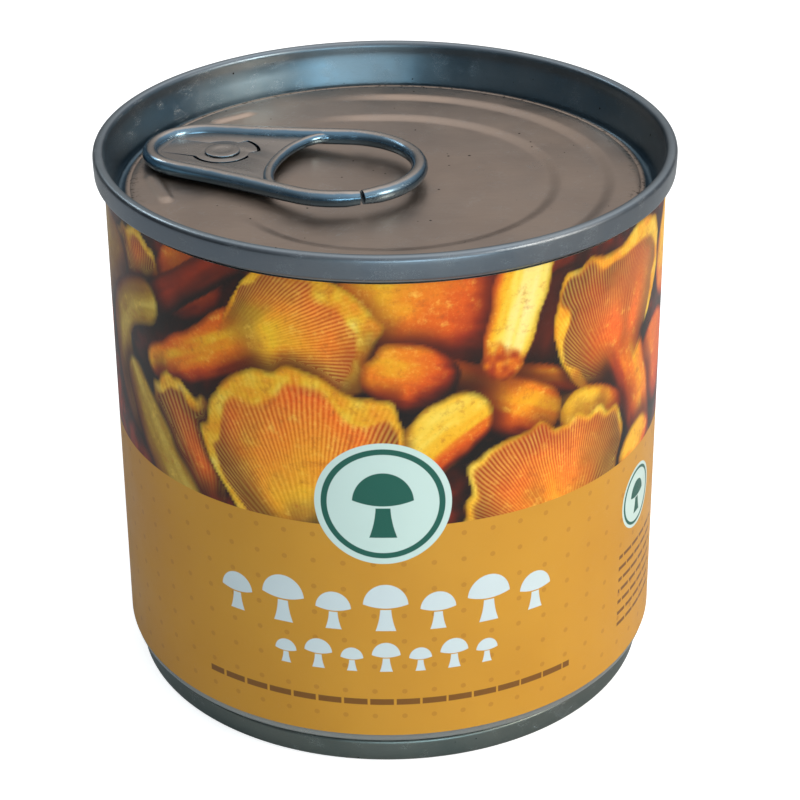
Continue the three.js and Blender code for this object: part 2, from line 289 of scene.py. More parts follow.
def millimetres(tree):
    """Object coordinates, in millimetres."""
    return scaled(make(tree, "TexCoord", "Object"), 1000, 1000, 1000)


def relief(tree, shader, height, distance):
    """Bump, with its depth in millimetres."""
    bump = make(tree, "Bump", Strength=1.0, Distance=distance * MM, Height=height)
    fill(tree, shader, Normal=bump)


LINE_SHADE = (0.02, 0.025, 0.03, 1)
SMUDGE_GREY = (0.30, 0.27, 0.24, 1)
SPECK_DIRT = (0.02, 0.017, 0.015, 1)
FRESH_STEEL = (0.55, 0.57, 0.58, 1)


def metal(name, colour, roughness, spacing=6.0, scratches=1.0, specks=1.0, lines=0.25,
          recolour=None):
    """A tinned or lacquered sheet. `recolour` may change the colour by place."""
    material, tree, shader = new_material(name)
    where = millimetres(tree)
    rolled = place_group(tree, rolling_lines, Position=where, Spacing=spacing)["Lines"]
    marks = place_group(tree, handling, Position=where, Smudge_size=0.09, Scratches=scratches,
                        Specks=specks)
    base = recolour(tree, where) if recolour else colour
    darker = mix(tree, (rolled - 0.5).math("ABSOLUTE") * lines * 3, base, LINE_SHADE)
    smudged = mix(tree, marks["Smudge"] * 0.16, darker, SMUDGE_GREY)
    speckled = mix(tree, marks["Speck"] * 0.75, smudged, SPECK_DIRT)
    scratched = mix(tree, marks["Scratch"] * 0.45, speckled, FRESH_STEEL)
    rough = marks["Smudge"] * 0.14 + rolled * 0.08 + (roughness - 0.08)
    rough = rough + marks["Speck"] * 0.3 - marks["Scratch"] * 0.05
    fill(tree, shader, Base_Color=scratched, Metallic=1.0, Roughness=rough)
    height = rolled * 0.004 - marks["Scratch"] * 0.006 + marks["Speck"] * 0.006
    relief(tree, shader, height + noise(where, 0.22, 2.0) * 0.03, 1.0)
    return material


# %% Colours of the metals, and where they change
HEIGHT = 74
LACQUER = (0.49, 0.355, 0.275, 1)
LACQUER_CLOUD = (0.41, 0.315, 0.26, 1)
LACQUER_EDGE = (33.9, 34.4)
RUST_SPOTS = (0.06, 0.035, 0.025, 1)
RUST_RADII = (31.8, 33.4)
SEAM_BLUE = (0.13, 0.155, 0.185, 1)
CHUCK_BLUE = (0.12, 0.185, 0.235, 1)
CHUCK_EDGE = (36.9, 36.4)
RUB_AND_HIGHLIGHT_TIN = (0.34, 0.38, 0.41, 1)
RUB_AND_HIGHLIGHT_HEIGHTS = (HEIGHT - 0.24, HEIGHT - 0.06)
BRIGHT_TIN = (0.235, 0.265, 0.29, 1)
NECK_PAINTED_HIGHLIGHT = (0.42, 0.45, 0.45, 1)
NECK_HIGHLIGHT_HEIGHTS = (5.4, 4.4)
WELD = (0.05, 0.05, 0.055, 1)
BASE_GREY = (0.125, 0.155, 0.15, 1)
TAB_BLUE = (0.12, 0.21, 0.29, 1)
TAB_REFLECTED_BROWN = (0.46, 0.385, 0.335, 1)


def lid_colours(tree, where):
    """Brown lacquer on the panel, with rust spots at its edge, and blue-grey tin outside it,
    lighter along the crown's top from rubbing and a painted highlight.
    """
    x, y, z = split(where)
    radius = length(x, y)
    cloud = noise(where, 0.07, 3.0).ramp(0.35, 0.7)
    panel = mix(tree, cloud * 0.6, LACQUER, LACQUER_CLOUD)
    rust = radius.ramp(*RUST_RADII) * noise(where, 1.5, 3.0, 0.6).ramp(0.56, 0.64)
    panel = mix(tree, rust * 0.75, panel, RUST_SPOTS)
    tin = mix(tree, radius.ramp(*CHUCK_EDGE), SEAM_BLUE, CHUCK_BLUE)
    # the crown's top is painted lighter: rubbed tin, and a painted highlight
    tin = mix(tree, z.ramp(*RUB_AND_HIGHLIGHT_HEIGHTS) * 0.7, tin, RUB_AND_HIGHLIGHT_TIN)
    return mix(tree, radius.ramp(*LACQUER_EDGE), panel, tin)


def body_colours(tree, where):
    """Tin, with a painted highlight that brightens the neck, and the dark line of the welded joint
    at the back.
    """
    x, y, z = split(where)
    joint = x.math("ABSOLUTE").ramp(0.55, 0.25) * y.ramp(0.0, 5.0)
    # the neck below the label is painted lighter: a painted highlight
    tin = mix(tree, z.ramp(*NECK_HIGHLIGHT_HEIGHTS), BRIGHT_TIN, NECK_PAINTED_HIGHLIGHT)
    return mix(tree, joint * 0.8, tin, WELD)


def tab_colours(tree, where):
    """Deep blue plating, and a painted brown reflection on what faces up: the web and the edge's
    crest.
    """
    _, _, facing = split(make(tree, "TexCoord", "Normal"))
    uneven = noise(where, 0.5, 3.0) * 0.16
    # faces that point up are painted brown: a painted reflection
    crest = (facing + uneven).ramp(0.86, 1.04)
    return mix(tree, crest, TAB_BLUE, TAB_REFLECTED_BROWN)


lid_metal = metal("Lacquered lid", LACQUER, 0.34, specks=1.3, lines=0.2, recolour=lid_colours)
body_metal = metal("Tinned body", BRIGHT_TIN, 0.30, scratches=0.6, lines=0.4,
                   recolour=body_colours)
base_metal = metal("Tinned base", BASE_GREY, 0.34, scratches=1.6, specks=1.6)
tab_metal = metal("Plated tab", TAB_BLUE, 0.22, spacing=9.0, scratches=0.8, specks=0.7,
                  lines=0.15, recolour=tab_colours)
print("metals:", [m.name for m in (lid_metal, body_metal, base_metal, tab_metal)])

# %% [markdown]
# ## Finishing a piece
# Every piece is drawn in millimetres about the can's axis and is turned into metres at the end, so
# its object stays at the origin, unturned and unscaled. `piece` makes the object, gives the skin
# its sheet thickness, and keeps folds sharper than 40 degrees crisp.


# %% Piece helpers
def piece(name, bm, material, sheet=None, sharp=40):
    """Makes an object of a bmesh drawn in mm. `sheet` is the thickness given to an open skin."""
    mesh = bpy.data.meshes.new(name)
    bm.to_mesh(mesh)
    bm.free()
    item = bpy.data.objects.new(name, mesh)
    bpy.context.collection.objects.link(item)
    if sheet:
        thicken = item.modifiers.new("Sheet thickness", "SOLIDIFY")
        thicken.thickness = sheet
        thicken.offset = 0
        thicken.use_even_offset = True
        graph = bpy.context.evaluated_depsgraph_get()
        item.data = bpy.data.meshes.new_from_object(item.evaluated_get(graph))
        item.modifiers.clear()
        item.data.name = name
    mesh = item.data
    mesh.transform(Matrix.Scale(MM, 4))
    mesh.shade_smooth()
    mesh.set_sharp_from_angle(angle=math.radians(sharp))
    mesh.materials.clear()
    mesh.materials.append(material)
    print(f"{name}: {len(mesh.polygons)} faces")
    return item


def arc(centre, radius, start, end, steps):
    """Points on a bend, from one angle in degrees to another."""
    turn = np.radians(np.linspace(start, end, steps + 1))
    return [(centre[0] + radius * math.cos(a), centre[1] + radius * math.sin(a)) for a in turn]


def turned_skin(line, steps=288, closed=False):
    """Turns a bent line of (radius, height) points about the can's axis."""
    bm = bmesh.new()
    corners = [bm.verts.new((radius, 0, height)) for radius, height in line]
    if closed:
        corners.append(corners[0])
    edges = [bm.edges.new(pair) for pair in zip(corners, corners[1:])]
    bmesh.ops.spin(bm, geom=bm.verts[:] + edges, cent=(0, 0, 0), axis=(0, 0, 1),
                   steps=steps, angle=math.tau, use_merge=True)
    bmesh.ops.remove_doubles(bm, verts=bm.verts, dist=1e-4)
    bmesh.ops.recalc_face_normals(bm, faces=bm.faces)
    return bm


def add_mesh(bm, extra):
    """Adds a second bmesh to the first, and frees it."""
    spare = bpy.data.meshes.new("spare")
    extra.to_mesh(spare)
    extra.free()
    bm.from_mesh(spare)
    bpy.data.meshes.remove(spare)


print("piece helpers ready")

# %% [markdown]
# ## The double seams
# A double seam folds five layers of sheet into a band 3.2 mm tall. The end is the outer fold: it
# climbs the chuck wall, crosses the crown, comes down outside and hooks up again. The body's
# flange hooks down between those layers. Both folds are needed, because the crown shows from
# above and the hooks' lower bend shows from the side. One line serves for both ends of the can,
# since the base seam is the same fold turned upside down.

# %% The two halves of a seam
SHEET = 0.24
LAYER = 0.32
SEAM_HEIGHT = 3.2
CROWN_BEND = 0.60
HOOK_BEND = 0.32
HOOK_LIFT = 1.25
BODY_HOOK_TIP = 2.4
END_HOOK_TIP = 1.7
TOP_SEAM = 38.1
BASE_SEAM = 35.4


def end_fold(outer):
    """The end's layers, from the chuck wall outwards. Heights are below the crown."""
    wall = outer - SHEET / 2
    chuck = wall - 4 * LAYER
    crown = -SHEET / 2 - CROWN_BEND
    hook = -SEAM_HEIGHT + SHEET / 2 + HOOK_BEND
    return [(chuck, crown - 1.2), (chuck, crown - 0.6),
            *arc((chuck + CROWN_BEND, crown), CROWN_BEND, 180, 90, 8),
            *arc((wall - CROWN_BEND, crown), CROWN_BEND, 90, 6, 8),
            (wall, crown - 0.35), (wall - 0.01, crown - 0.9), (wall - 0.04, crown - 1.5),
            (wall - 0.07, crown - 1.8),
            *arc((wall - HOOK_BEND - 0.07, hook), HOOK_BEND, -8, -180, 12),
            (wall - 2 * HOOK_BEND - 0.02, -END_HOOK_TIP)]


def body_fold(outer):
    """The body's layers, from the wall outwards to the cut edge of its hook."""
    wall = outer - SHEET / 2 - 3 * LAYER
    return [(wall, -SEAM_HEIGHT + 0.3),
            *arc((wall + HOOK_BEND, -HOOK_LIFT), HOOK_BEND, 180, 0, 12),
            (wall + 2 * HOOK_BEND, -BODY_HOOK_TIP)]


def on_top(line):
    return [(radius, HEIGHT + height) for radius, height in line]


def on_base(line):
    return [(radius, -height) for radius, height in line]


print("seam points:", len(end_fold(TOP_SEAM)), "and", len(body_fold(TOP_SEAM)))

# %% [markdown]
# ## The lid
# The lid is stamped from one disc: a flat panel with two shallow steps, a score line that is
# pressed half-way through the sheet, a countersink groove that stiffens it, and the chuck wall up
# to the seam. The steps fade out under the rivet, where the panel has to stay flat for the tab,
# and two small beads beside the tab's nose stop the torn lid from bending there. A turned line
# gives everything round, and the fading steps and the beads are then pressed in by moving the
# panel's points, as a stamping tool does.

# %% Lid
PANEL = HEIGHT - 5.5 - SHEET / 2
GROOVE = HEIGHT - 6.5 - SHEET / 2
SCORE = 33.5
STEP_DROP = 0.4
OUTER_STEP = (28.4, 30.5)
INNER_STEP = (21.4, 23.4)
STEP_FADE = (5, 17)
RIVET_TURN = math.radians(166.8)
RIVET_AT = Vector((22.3 * math.cos(RIVET_TURN), 22.3 * math.sin(RIVET_TURN)))
NOSE_BEADS = (((180, 30.7), (194, 29.3)), ((130, 30.0), (139, 30.9)))
BEAD_RISE = 0.35


def smooth(low, high, value):
    """0 at `low`, 1 at `high`, and smooth between, for a number or a whole array."""
    share = np.clip((value - low) / (high - low), 0.0, 1.0)
    return share * share * (3 - 2 * share)


def from_turn(degrees, radius):
    return Vector((radius * math.cos(math.radians(degrees)),
                   radius * math.sin(math.radians(degrees))))


def panel_press(place):
    """How far the stamping tool moves the panel up at a place."""
    radius = place.length
    along = place.dot(RIVET_AT) / RIVET_AT.length
    drop = (2 - smooth(*OUTER_STEP, radius) - smooth(*INNER_STEP, radius)) * STEP_DROP
    rise = 0.0
    for first, last in NOSE_BEADS:
        start = from_turn(*first)
        run = from_turn(*last) - start
        share = min(max((place - start).dot(run) / run.length_squared, 0.0), 1.0)
        gap = (place - start - run * share).length
        rise = max(rise, BEAD_RISE * (1 - smooth(0.35, 1.25, gap)))
    return rise - drop * (1 - smooth(*STEP_FADE, along))


panel_radii = np.concatenate([
    np.linspace(0, 20, 11), np.linspace(21, 23.8, 15), np.linspace(24.8, 27.4, 3),
    np.linspace(28.0, 32.6, 24)])
lid_line = [(float(radius), PANEL) for radius in panel_radii]
lid_line += [(SCORE - 0.18, PANEL), (SCORE, PANEL - 0.1), (SCORE + 0.18, PANEL)]
lid_line += [(33.95, PANEL), (34.06, PANEL - 0.06), (34.1, PANEL - 0.2)]
lid_line += arc((34.8, GROOVE + 0.7), 0.7, -180, 0, 14)
lid_line += [(35.72, GROOVE + 1.5), (36.15, GROOVE + 3.1), *on_top(end_fold(TOP_SEAM))]
lid_skin = turned_skin(lid_line)
for corner in lid_skin.verts:
    if corner.co.xy.length < SCORE - 0.5:
        corner.co.z += panel_press(corner.co.xy)
lid = piece("lid_sheet", lid_skin, lid_metal, sheet=SHEET)
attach(lid, "can")
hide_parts("lid_end")

# %% [markdown]
# ## The body
# The body is a rolled sheet with one welded joint down the back. At the top it flares into the
# lid's seam. At the base it is necked in, so that one can stands inside the rim of the next. It
# is one turned line, with the hook of a seam at each end.

# %% Body
BODY = 36.6 - SHEET / 2
NECK_START = 4.8
FLARE_START = HEIGHT - 3.9
base_hook = on_base(body_fold(BASE_SEAM))[::-1]
neck_inner = base_hook[-1][0]
neck_from = Vector((neck_inner, 2.95))
neck_pulls = (Vector((neck_inner, 4.0)), Vector((BODY, 3.5)))
neck_to = Vector((BODY, NECK_START))
neck = []
for share in np.linspace(0, 1, 15)[1:]:
    rest = 1 - share
    point = (neck_from * rest ** 3 + neck_pulls[0] * 3 * rest ** 2 * share
             + neck_pulls[1] * 3 * rest * share ** 2 + neck_to * share ** 3)
    neck.append((point.x, point.y))
wall = [(BODY, float(height)) for height in np.linspace(NECK_START, FLARE_START, 12)[1:]]
body_line = [*base_hook, *neck, *wall, *on_top(body_fold(TOP_SEAM))]
body = piece("body_sheet", turned_skin(body_line), body_metal, sheet=SHEET)
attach(body, "can")
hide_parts("can_body")

# %% [markdown]
# ## The base end
# The base is a plain end. Its two round beads flex while the can is heated and cooled, and its
# countersink stiffens the rim. It is made like the lid, in bends of one line.

# %% Base end
BASE_PANEL = 4.4
BASE_BEAD = 0.45


def bead_line(start, height):
    """A pressed bead 4 mm wide, seen from the side."""
    return [(start + 4 * share, BASE_PANEL + height * math.sin(math.pi * share) ** 0.6)
            for share in np.linspace(0, 1, 13)]


base_line = [(float(radius), BASE_PANEL) for radius in np.linspace(0, 10.5, 6)]
base_line += bead_line(11.5, BASE_BEAD) + [(17.7, BASE_PANEL)] + bead_line(20, BASE_BEAD)
base_line += [(27.0, BASE_PANEL), (28.4, BASE_PANEL), (28.9, BASE_PANEL - 0.15)]
base_line += [(29.5, BASE_PANEL - BASE_BEAD), (31.5, BASE_PANEL - BASE_BEAD)]
base_line += [(31.9, BASE_PANEL - 0.1)]
base_line += arc((32.75, BASE_PANEL + 0.3), 0.6, 162, 6, 12)
base_line += on_base(end_fold(BASE_SEAM))
base = piece("base_sheet", turned_skin(base_line), base_metal, sheet=SHEET)
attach(base, "can")
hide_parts("base_end")

# %% [markdown]
# ## The sealing compound
# Before an end is folded on, a ring of rubbery compound is poured under its crown. It fills the
# space that the layers leave, and makes the seam tight. It is hidden in the finished can, so each
# ring is a small closed section turned once round.

# %% Sealing rings
rubber, tree, shader = new_material("Sealing compound")
where = millimetres(tree)
grains = noise(where, 2.2, 4.0)
grey = mix(tree, grains.ramp(0.35, 0.7), (0.23, 0.24, 0.22, 1), (0.36, 0.37, 0.34, 1))
fill(tree, shader, Base_Color=grey, Roughness=grains * 0.2 + 0.6)
relief(tree, shader, grains, 0.05)

SECTION = [(-0.36, -0.72), (0, -0.74), (0.36, -0.72), (0.35, -0.58), (0.28, -0.46), (0.15, -0.36),
           (0, -0.32), (-0.15, -0.36), (-0.28, -0.46), (-0.35, -0.58)]


def sealing_ring(name, node, outer, side):
    middle = outer - SHEET / 2 - 2 * LAYER
    line = side([(middle + across, height) for across, height in SECTION])
    ring = piece(name, turned_skin(line, closed=True), rubber)
    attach(ring, "can")
    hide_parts(node)


sealing_ring("lid_compound", "lid_sealing_ring", TOP_SEAM, on_top)
sealing_ring("base_compound", "base_sealing_ring", BASE_SEAM, on_base)

# %% [markdown]
# ## The pull tab
# The tab is cut from a strip of steel, and its edge is rolled into a bar all the way round, so
# that a finger can pull it. The bar's two ends meet at a notch on the ring's near side. Between
# the nose and the finger hole the sheet stays flat, and a C-shaped slit frees an island round the
# rivet. The bar is a curve with a round bevel, which is how Blender rolls an edge. The flat web
# is a filled outline with the slit cut out of it. Both are drawn with the rivet at the middle and
# the ring towards +X, and are turned into place afterwards.

# %% Placing the tab
TAB_LEVEL = HEIGHT - 4.2
TAB_PLACE = (Matrix.Translation((RIVET_AT.x, RIVET_AT.y, TAB_LEVEL))
             @ Matrix.Rotation(math.radians(-18.5), 4, "Z"))
CURL = 1.1
NOSE = (-2.9, 6.9)
RING = (16.4, 10.7)
FLANK_START = (1.5, 7.75)
FLANK_END = (8.0, 9.05)
NOTCH = -55
NOTCH_HALF = 1.15


def mesh_of(data):
    """A curve as a bmesh in the can's millimetres."""
    curve = bpy.data.objects.new("curve", data)
    bpy.context.collection.objects.link(curve)
    graph = bpy.context.evaluated_depsgraph_get()
    mesh = bpy.data.meshes.new_from_object(curve.evaluated_get(graph))
    bm = bmesh.new()
    bm.from_mesh(mesh)
    bpy.data.objects.remove(curve)
    bmesh.ops.remove_doubles(bm, verts=bm.verts, dist=1e-4)
    bmesh.ops.recalc_face_normals(bm, faces=bm.faces)
    bm.transform(TAB_PLACE)
    return bm


def rolled_bar(points, thickness, radii=None, loop=False):
    """A round bar along a smooth line."""
    data = bpy.data.curves.new("bar", "CURVE")
    data.dimensions = "3D"
    data.bevel_depth = thickness
    data.bevel_resolution = 6
    data.use_fill_caps = True
    data.resolution_u = 6
    spline = data.splines.new("BEZIER")
    spline.bezier_points.add(len(points) - 1)
    for number, (knot, place) in enumerate(zip(spline.bezier_points, points)):
        knot.co = (*place, 0)
        knot.handle_left_type = knot.handle_right_type = "AUTO"
        knot.radius = radii[number] if radii else 1.0
    spline.use_cyclic_u = loop
    return mesh_of(data)


def flat_sheet(outlines, half, edge):
    """A plate with rounded edges. The outlines after the first are holes in it."""
    data = bpy.data.curves.new("plate", "CURVE")
    data.dimensions = "2D"
    data.fill_mode = "BOTH"
    data.extrude = half - edge
    data.bevel_depth = edge
    data.bevel_resolution = 2
    data.offset = -edge
    for outline in outlines:
        spline = data.splines.new("POLY")
        spline.points.add(len(outline) - 1)
        for corner, (x, y) in zip(spline.points, outline):
            corner.co = (x, y, 0, 1)
        spline.use_cyclic_u = True
    return mesh_of(data)


# %% [markdown]
# The edge of the ring is a circle, the nose is a smaller one, and two nearly straight flanks join
# them. The last few millimetres of the bar taper a little on both sides of the notch.

# %% Tab edge and web
RING_JOIN = 104
NOSE_JOIN = 103
NOTCH_TAPER = 0.86
edge_line = arc((RING[0], 0), RING[1], NOTCH + NOTCH_HALF, RING_JOIN, 13)
edge_line += [FLANK_END, FLANK_START]
edge_line += arc((NOSE[0], 0), NOSE[1], NOSE_JOIN, 360 - NOSE_JOIN, 12)
edge_line += [(x, -y) for x, y in (FLANK_START, FLANK_END)]
edge_line += arc((RING[0], 0), RING[1], -RING_JOIN, NOTCH - NOTCH_HALF, 5)
edge_radii = [NOTCH_TAPER] + [1.0] * (len(edge_line) - 2) + [NOTCH_TAPER]
print("tab edge points:", len(edge_line))

ISLAND = 3.7
TONGUE = 2.4
SLIT = 0.45
HAIRLINE = 0.02
FAR_SLIT = 4.65
TONGUE_TIP = -7.83


def slit_radii(degrees):
    """The island's edge and the web's edge, in one direction from the rivet."""
    if -164 <= degrees <= -5:
        ends = smooth(-164, -158, degrees) * (1 - smooth(-11, -5, degrees))
        return ISLAND, ISLAND + HAIRLINE + (SLIT - HAIRLINE) * ends
    if 12 <= degrees <= 76:
        ends = smooth(12, 20, degrees) * (1 - smooth(68, 76, degrees))
        inner = ISLAND + (FAR_SLIT - ISLAND) * ends
        return inner, inner + HAIRLINE + (SLIT - HAIRLINE) * ends
    return ISLAND, ISLAND + HAIRLINE


def island_outline(which, margin):
    """Round the island and out along its tongue to the nose."""
    open_angle = 180 - math.degrees(math.asin((TONGUE + margin) / (ISLAND + margin)))
    turns = np.linspace(-open_angle, open_angle, 121)
    line = [from_turn(turn, slit_radii(turn)[which]) for turn in turns]
    tip = TONGUE_TIP - margin
    return [tuple(p) for p in line] + [(tip, TONGUE + margin), (tip, -TONGUE - margin)]


HOLE_EDGE = [(13.1, 10.15), (11.1, 9.2), (9.7, 7.8), (8.8, 5.9), (8.2, 3.8), (7.9, 1.3)]
hole_edge = HOLE_EDGE + [(x, -y) for x, y in HOLE_EDGE[::-1]]
flanks = [FLANK_START, FLANK_END]
web_outline = [*arc((NOSE[0], 0), NOSE[1], NOSE_JOIN, 360 - NOSE_JOIN, 40),
               *[(x, -y) for x, y in flanks], *hole_edge[::-1], *flanks[::-1]]
HEM = 0.72
HALF_WEB = 0.25
WEB_EDGE = 0.02
tab_mesh = rolled_bar(edge_line, CURL, edge_radii)
for extra in (flat_sheet([web_outline, island_outline(1, HAIRLINE)], HALF_WEB, WEB_EDGE),
              rolled_bar(hole_edge, HEM)):
    add_mesh(tab_mesh, extra)
tab = piece("tab_stamping", tab_mesh, tab_metal)
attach(tab, "tab")
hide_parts("pull_tab")

# %% [markdown]
# ## The island and the rivet
# The rivet is drawn up out of the lid's own panel, put through a hole in the island, and hammered
# flat. When the tab is lifted, the island stays on the lid and its tongue bends at the nose. The
# tongue starts as a finely divided plate, because a bend needs points to bend at.

# %% Island, tongue and rivet
RIVET_HOLE = 1.75
BEND_CUTS = (-7.6, -3.0, 0.3)
hole = [tuple(from_turn(turn, RIVET_HOLE)) for turn in range(0, 360, 10)]
tongue_mesh = flat_sheet([island_outline(0, 0.0), hole], HALF_WEB, WEB_EDGE)
for cut in np.arange(*BEND_CUTS):
    at = TAB_PLACE @ Vector((cut, 0, 0))
    across = TAB_PLACE.to_3x3() @ Vector((1, 0, 0))
    bmesh.ops.bisect_plane(tongue_mesh, plane_co=at, plane_no=across,
                           geom=tongue_mesh.verts[:] + tongue_mesh.edges[:] + tongue_mesh.faces[:])
tongue = piece("tab_island", tongue_mesh, tab_metal)
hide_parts("rivet_tongue")
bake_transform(tongue)

SEAT = TAB_LEVEL + 0.33
rivet_line = [(0, SEAT + 0.1), (0.6, SEAT + 0.1), (0.95, SEAT + 0.12), (1.25, SEAT + 0.18),
              (1.6, SEAT + 0.2), (2.0, SEAT + 0.18), *arc((2.25, SEAT + 0.08), 0.1, 70, -70, 6),
              (1.62, SEAT), (1.6, SEAT - 0.4), (1.6, PANEL + 0.55), (1.72, PANEL + 0.25),
              (2.0, PANEL + 0.1), (2.15, PANEL)]
rivet_mesh = turned_skin([*rivet_line, (0, PANEL)], steps=64)
rivet_mesh.transform(Matrix.Translation((RIVET_AT.x, RIVET_AT.y, 0)))
rivet = piece("rivet_button", rivet_mesh, tab_metal)
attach(rivet, "can")

# %% [markdown]
# ## The label: cutting and wrapping the paper
# The label is a sheet of glossy paper, printed flat and then wrapped round the body, with a lap of
# 6 mm glued down beside the side panel. It is made in the same order: a flat grid as long as the
# can is round, with a thin rim and a back face, which a bend then carries onto the cylinder. Its
# upper half has closely spaced points, because they carry the printed picture. Two UV maps go
# with the paper: one gives each point's place on the flat print, in millimetres, and the other
# folds the long strip into two rows, which suits a square texture.

# %% Label sheet
LABEL_RADIUS = 36.8
PAPER = 0.1
LABEL_LOW = 5.3
LABEL_HIGH = 70.0
BAND_EDGE = 36.7
LAP = 6.0
AROUND = math.tau * LABEL_RADIUS
PANEL_REPEAT = AROUND / 2
LABEL_START = PANEL_REPEAT / 2 - AROUND
LABEL_LENGTH = AROUND + LAP
COLUMNS = 700
PICTURE_ROWS = 100
FIELD_ROWS = 6


def label_half(columns, rows, depth):
    """A flat grid, `depth` below the print, with evenly spaced points."""
    bm = bmesh.new()
    bmesh.ops.create_grid(bm, x_segments=columns, y_segments=rows, size=0.5)
    bmesh.ops.translate(bm, verts=bm.verts, vec=(0.5, 0.5, -depth))
    return bm


label_bm = label_half(COLUMNS, PICTURE_ROWS + FIELD_ROWS, 0)
back = label_half(COLUMNS, 1, PAPER)
bmesh.ops.reverse_faces(back, faces=back.faces)
add_mesh(label_bm, back)
for level in (0, 1):
    rim = [edge for edge in label_bm.edges if edge.is_boundary
           and all(abs(corner.co.y - level) < 1e-6 for corner in edge.verts)]
    bmesh.ops.bridge_loops(label_bm, edges=rim)
bmesh.ops.holes_fill(label_bm, edges=[e for e in label_bm.edges if e.is_boundary], sides=0)
bmesh.ops.recalc_face_normals(label_bm, faces=label_bm.faces)
field_share = FIELD_ROWS / (FIELD_ROWS + PICTURE_ROWS)
for corner in label_bm.verts:
    share = corner.co.y
    if share <= field_share:
        corner.co.y = LABEL_LOW + (BAND_EDGE - LABEL_LOW) * share / field_share
    else:
        above = (share - field_share) / (1 - field_share)
        corner.co.y = BAND_EDGE + (LABEL_HIGH - BAND_EDGE) * above
    corner.co.x = LABEL_START + LABEL_LENGTH * corner.co.x
print("label faces:", len(label_bm.faces), "open edges:",
      sum(edge.is_boundary for edge in label_bm.edges))

# %% Label maps
flat_map = label_bm.loops.layers.uv.new("Label")
bake_map = label_bm.loops.layers.uv.new("OFBake")
ROW_LENGTH = LABEL_LENGTH / 2
MAP_GAP = 0.01
SECOND_ROW = 0.5
ROW_TOP = 0.48
HIDDEN_ROW = 0.985
HIDDEN_TALL = 0.01


def bake_place(along, height, middle, hidden):
    """A place in the two-row map for a point of a face whose middle is at `middle`."""
    second = abs(middle) > ROW_LENGTH / 2
    across = along + ROW_LENGTH / 2
    if second and middle < 0:
        across = along - LABEL_START
    elif second:
        across = along - LABEL_START - LABEL_LENGTH + ROW_LENGTH
    tall = (height - LABEL_LOW) / (LABEL_HIGH - LABEL_LOW)
    row = (SECOND_ROW if second else MAP_GAP) + (ROW_TOP - MAP_GAP) * tall
    if hidden:
        row = HIDDEN_ROW + HIDDEN_TALL * tall
    return MAP_GAP + (1 - 2 * MAP_GAP) * across / ROW_LENGTH, row


for face in label_bm.faces:
    hidden = face.calc_center_median().z < -PAPER / 4
    middle = face.calc_center_median().x
    for loop in face.loops:
        flat = loop.vert.co
        loop[flat_map].uv = (flat.x, flat.y)
        loop[bake_map].uv = bake_place(flat.x, flat.y, middle, hidden)
print("label maps:", [layer.name for layer in label_bm.loops.layers.uv.values()])

# %% [markdown]
# ## The label: painting the picture
# The picture is a heap of chanterelles. No image file is used: each mushroom is painted by a
# short rule, from the back of the heap to the front, as a painter would. Three rules are enough.
# A *fan* is the underside of a cap, with gills that run out from the stem to a pale wavy margin.
# A *dome* is a smooth cap lit from one side. A *stalk* is a bent, rounded stem. Each one darkens
# what lies behind its edge, and that soft shadow makes the heap look deep. The result is stored
# as a colour on each point of the paper. The gills are finer than the points, so only their
# direction is stored, and the material draws the lines.


# %% Painting tools
def patches(x, y, seed):
    """Smooth random patches, one to a unit square, from 0 to 1."""
    cell_x = np.floor(x)
    cell_y = np.floor(y)
    blend_x = smooth(0, 1, x - cell_x)
    blend_y = smooth(0, 1, y - cell_y)

    def corner(step_x, step_y):
        mixed = np.sin((cell_x + step_x) * 127.1 + (cell_y + step_y) * 311.7 + seed * 74.7)
        mixed = mixed * 43758.5453
        return mixed - np.floor(mixed)

    low = corner(0, 0) * (1 - blend_x) + corner(1, 0) * blend_x
    high = corner(0, 1) * (1 - blend_x) + corner(1, 1) * blend_x
    return low * (1 - blend_y) + high * blend_y


def mottle(x, y, seed):
    coarse = patches(x, y, seed) + 0.5 * patches(2.1 * x, 2.1 * y, seed + 3)
    return (coarse + 0.25 * patches(4.3 * x, 4.3 * y, seed + 7)) / 1.75


def over(below, above, share):
    """One set of colours laid over another, by a share for each point."""
    share = share[:, None]
    return below * (1 - share) + above * share


def tint(*stops):
    """A run of colours: (place from 0 to 1, colour) pairs."""
    places = [place for place, _ in stops]
    colours = np.array([colour for _, colour in stops]) / 255.0
    return lambda share: np.stack(
        [np.interp(share, places, colours[:, part]) for part in range(3)], axis=-1)


SOIL = (44, 26, 22)
BARK = (104, 48, 26)
RUST = (164, 72, 26)
ORANGE = (216, 118, 26)
AMBER = (230, 154, 36)
YELLOW = (236, 192, 58)
PALE = (244, 224, 124)
CREAM = (250, 240, 184)
OLIVE = (190, 164, 76)


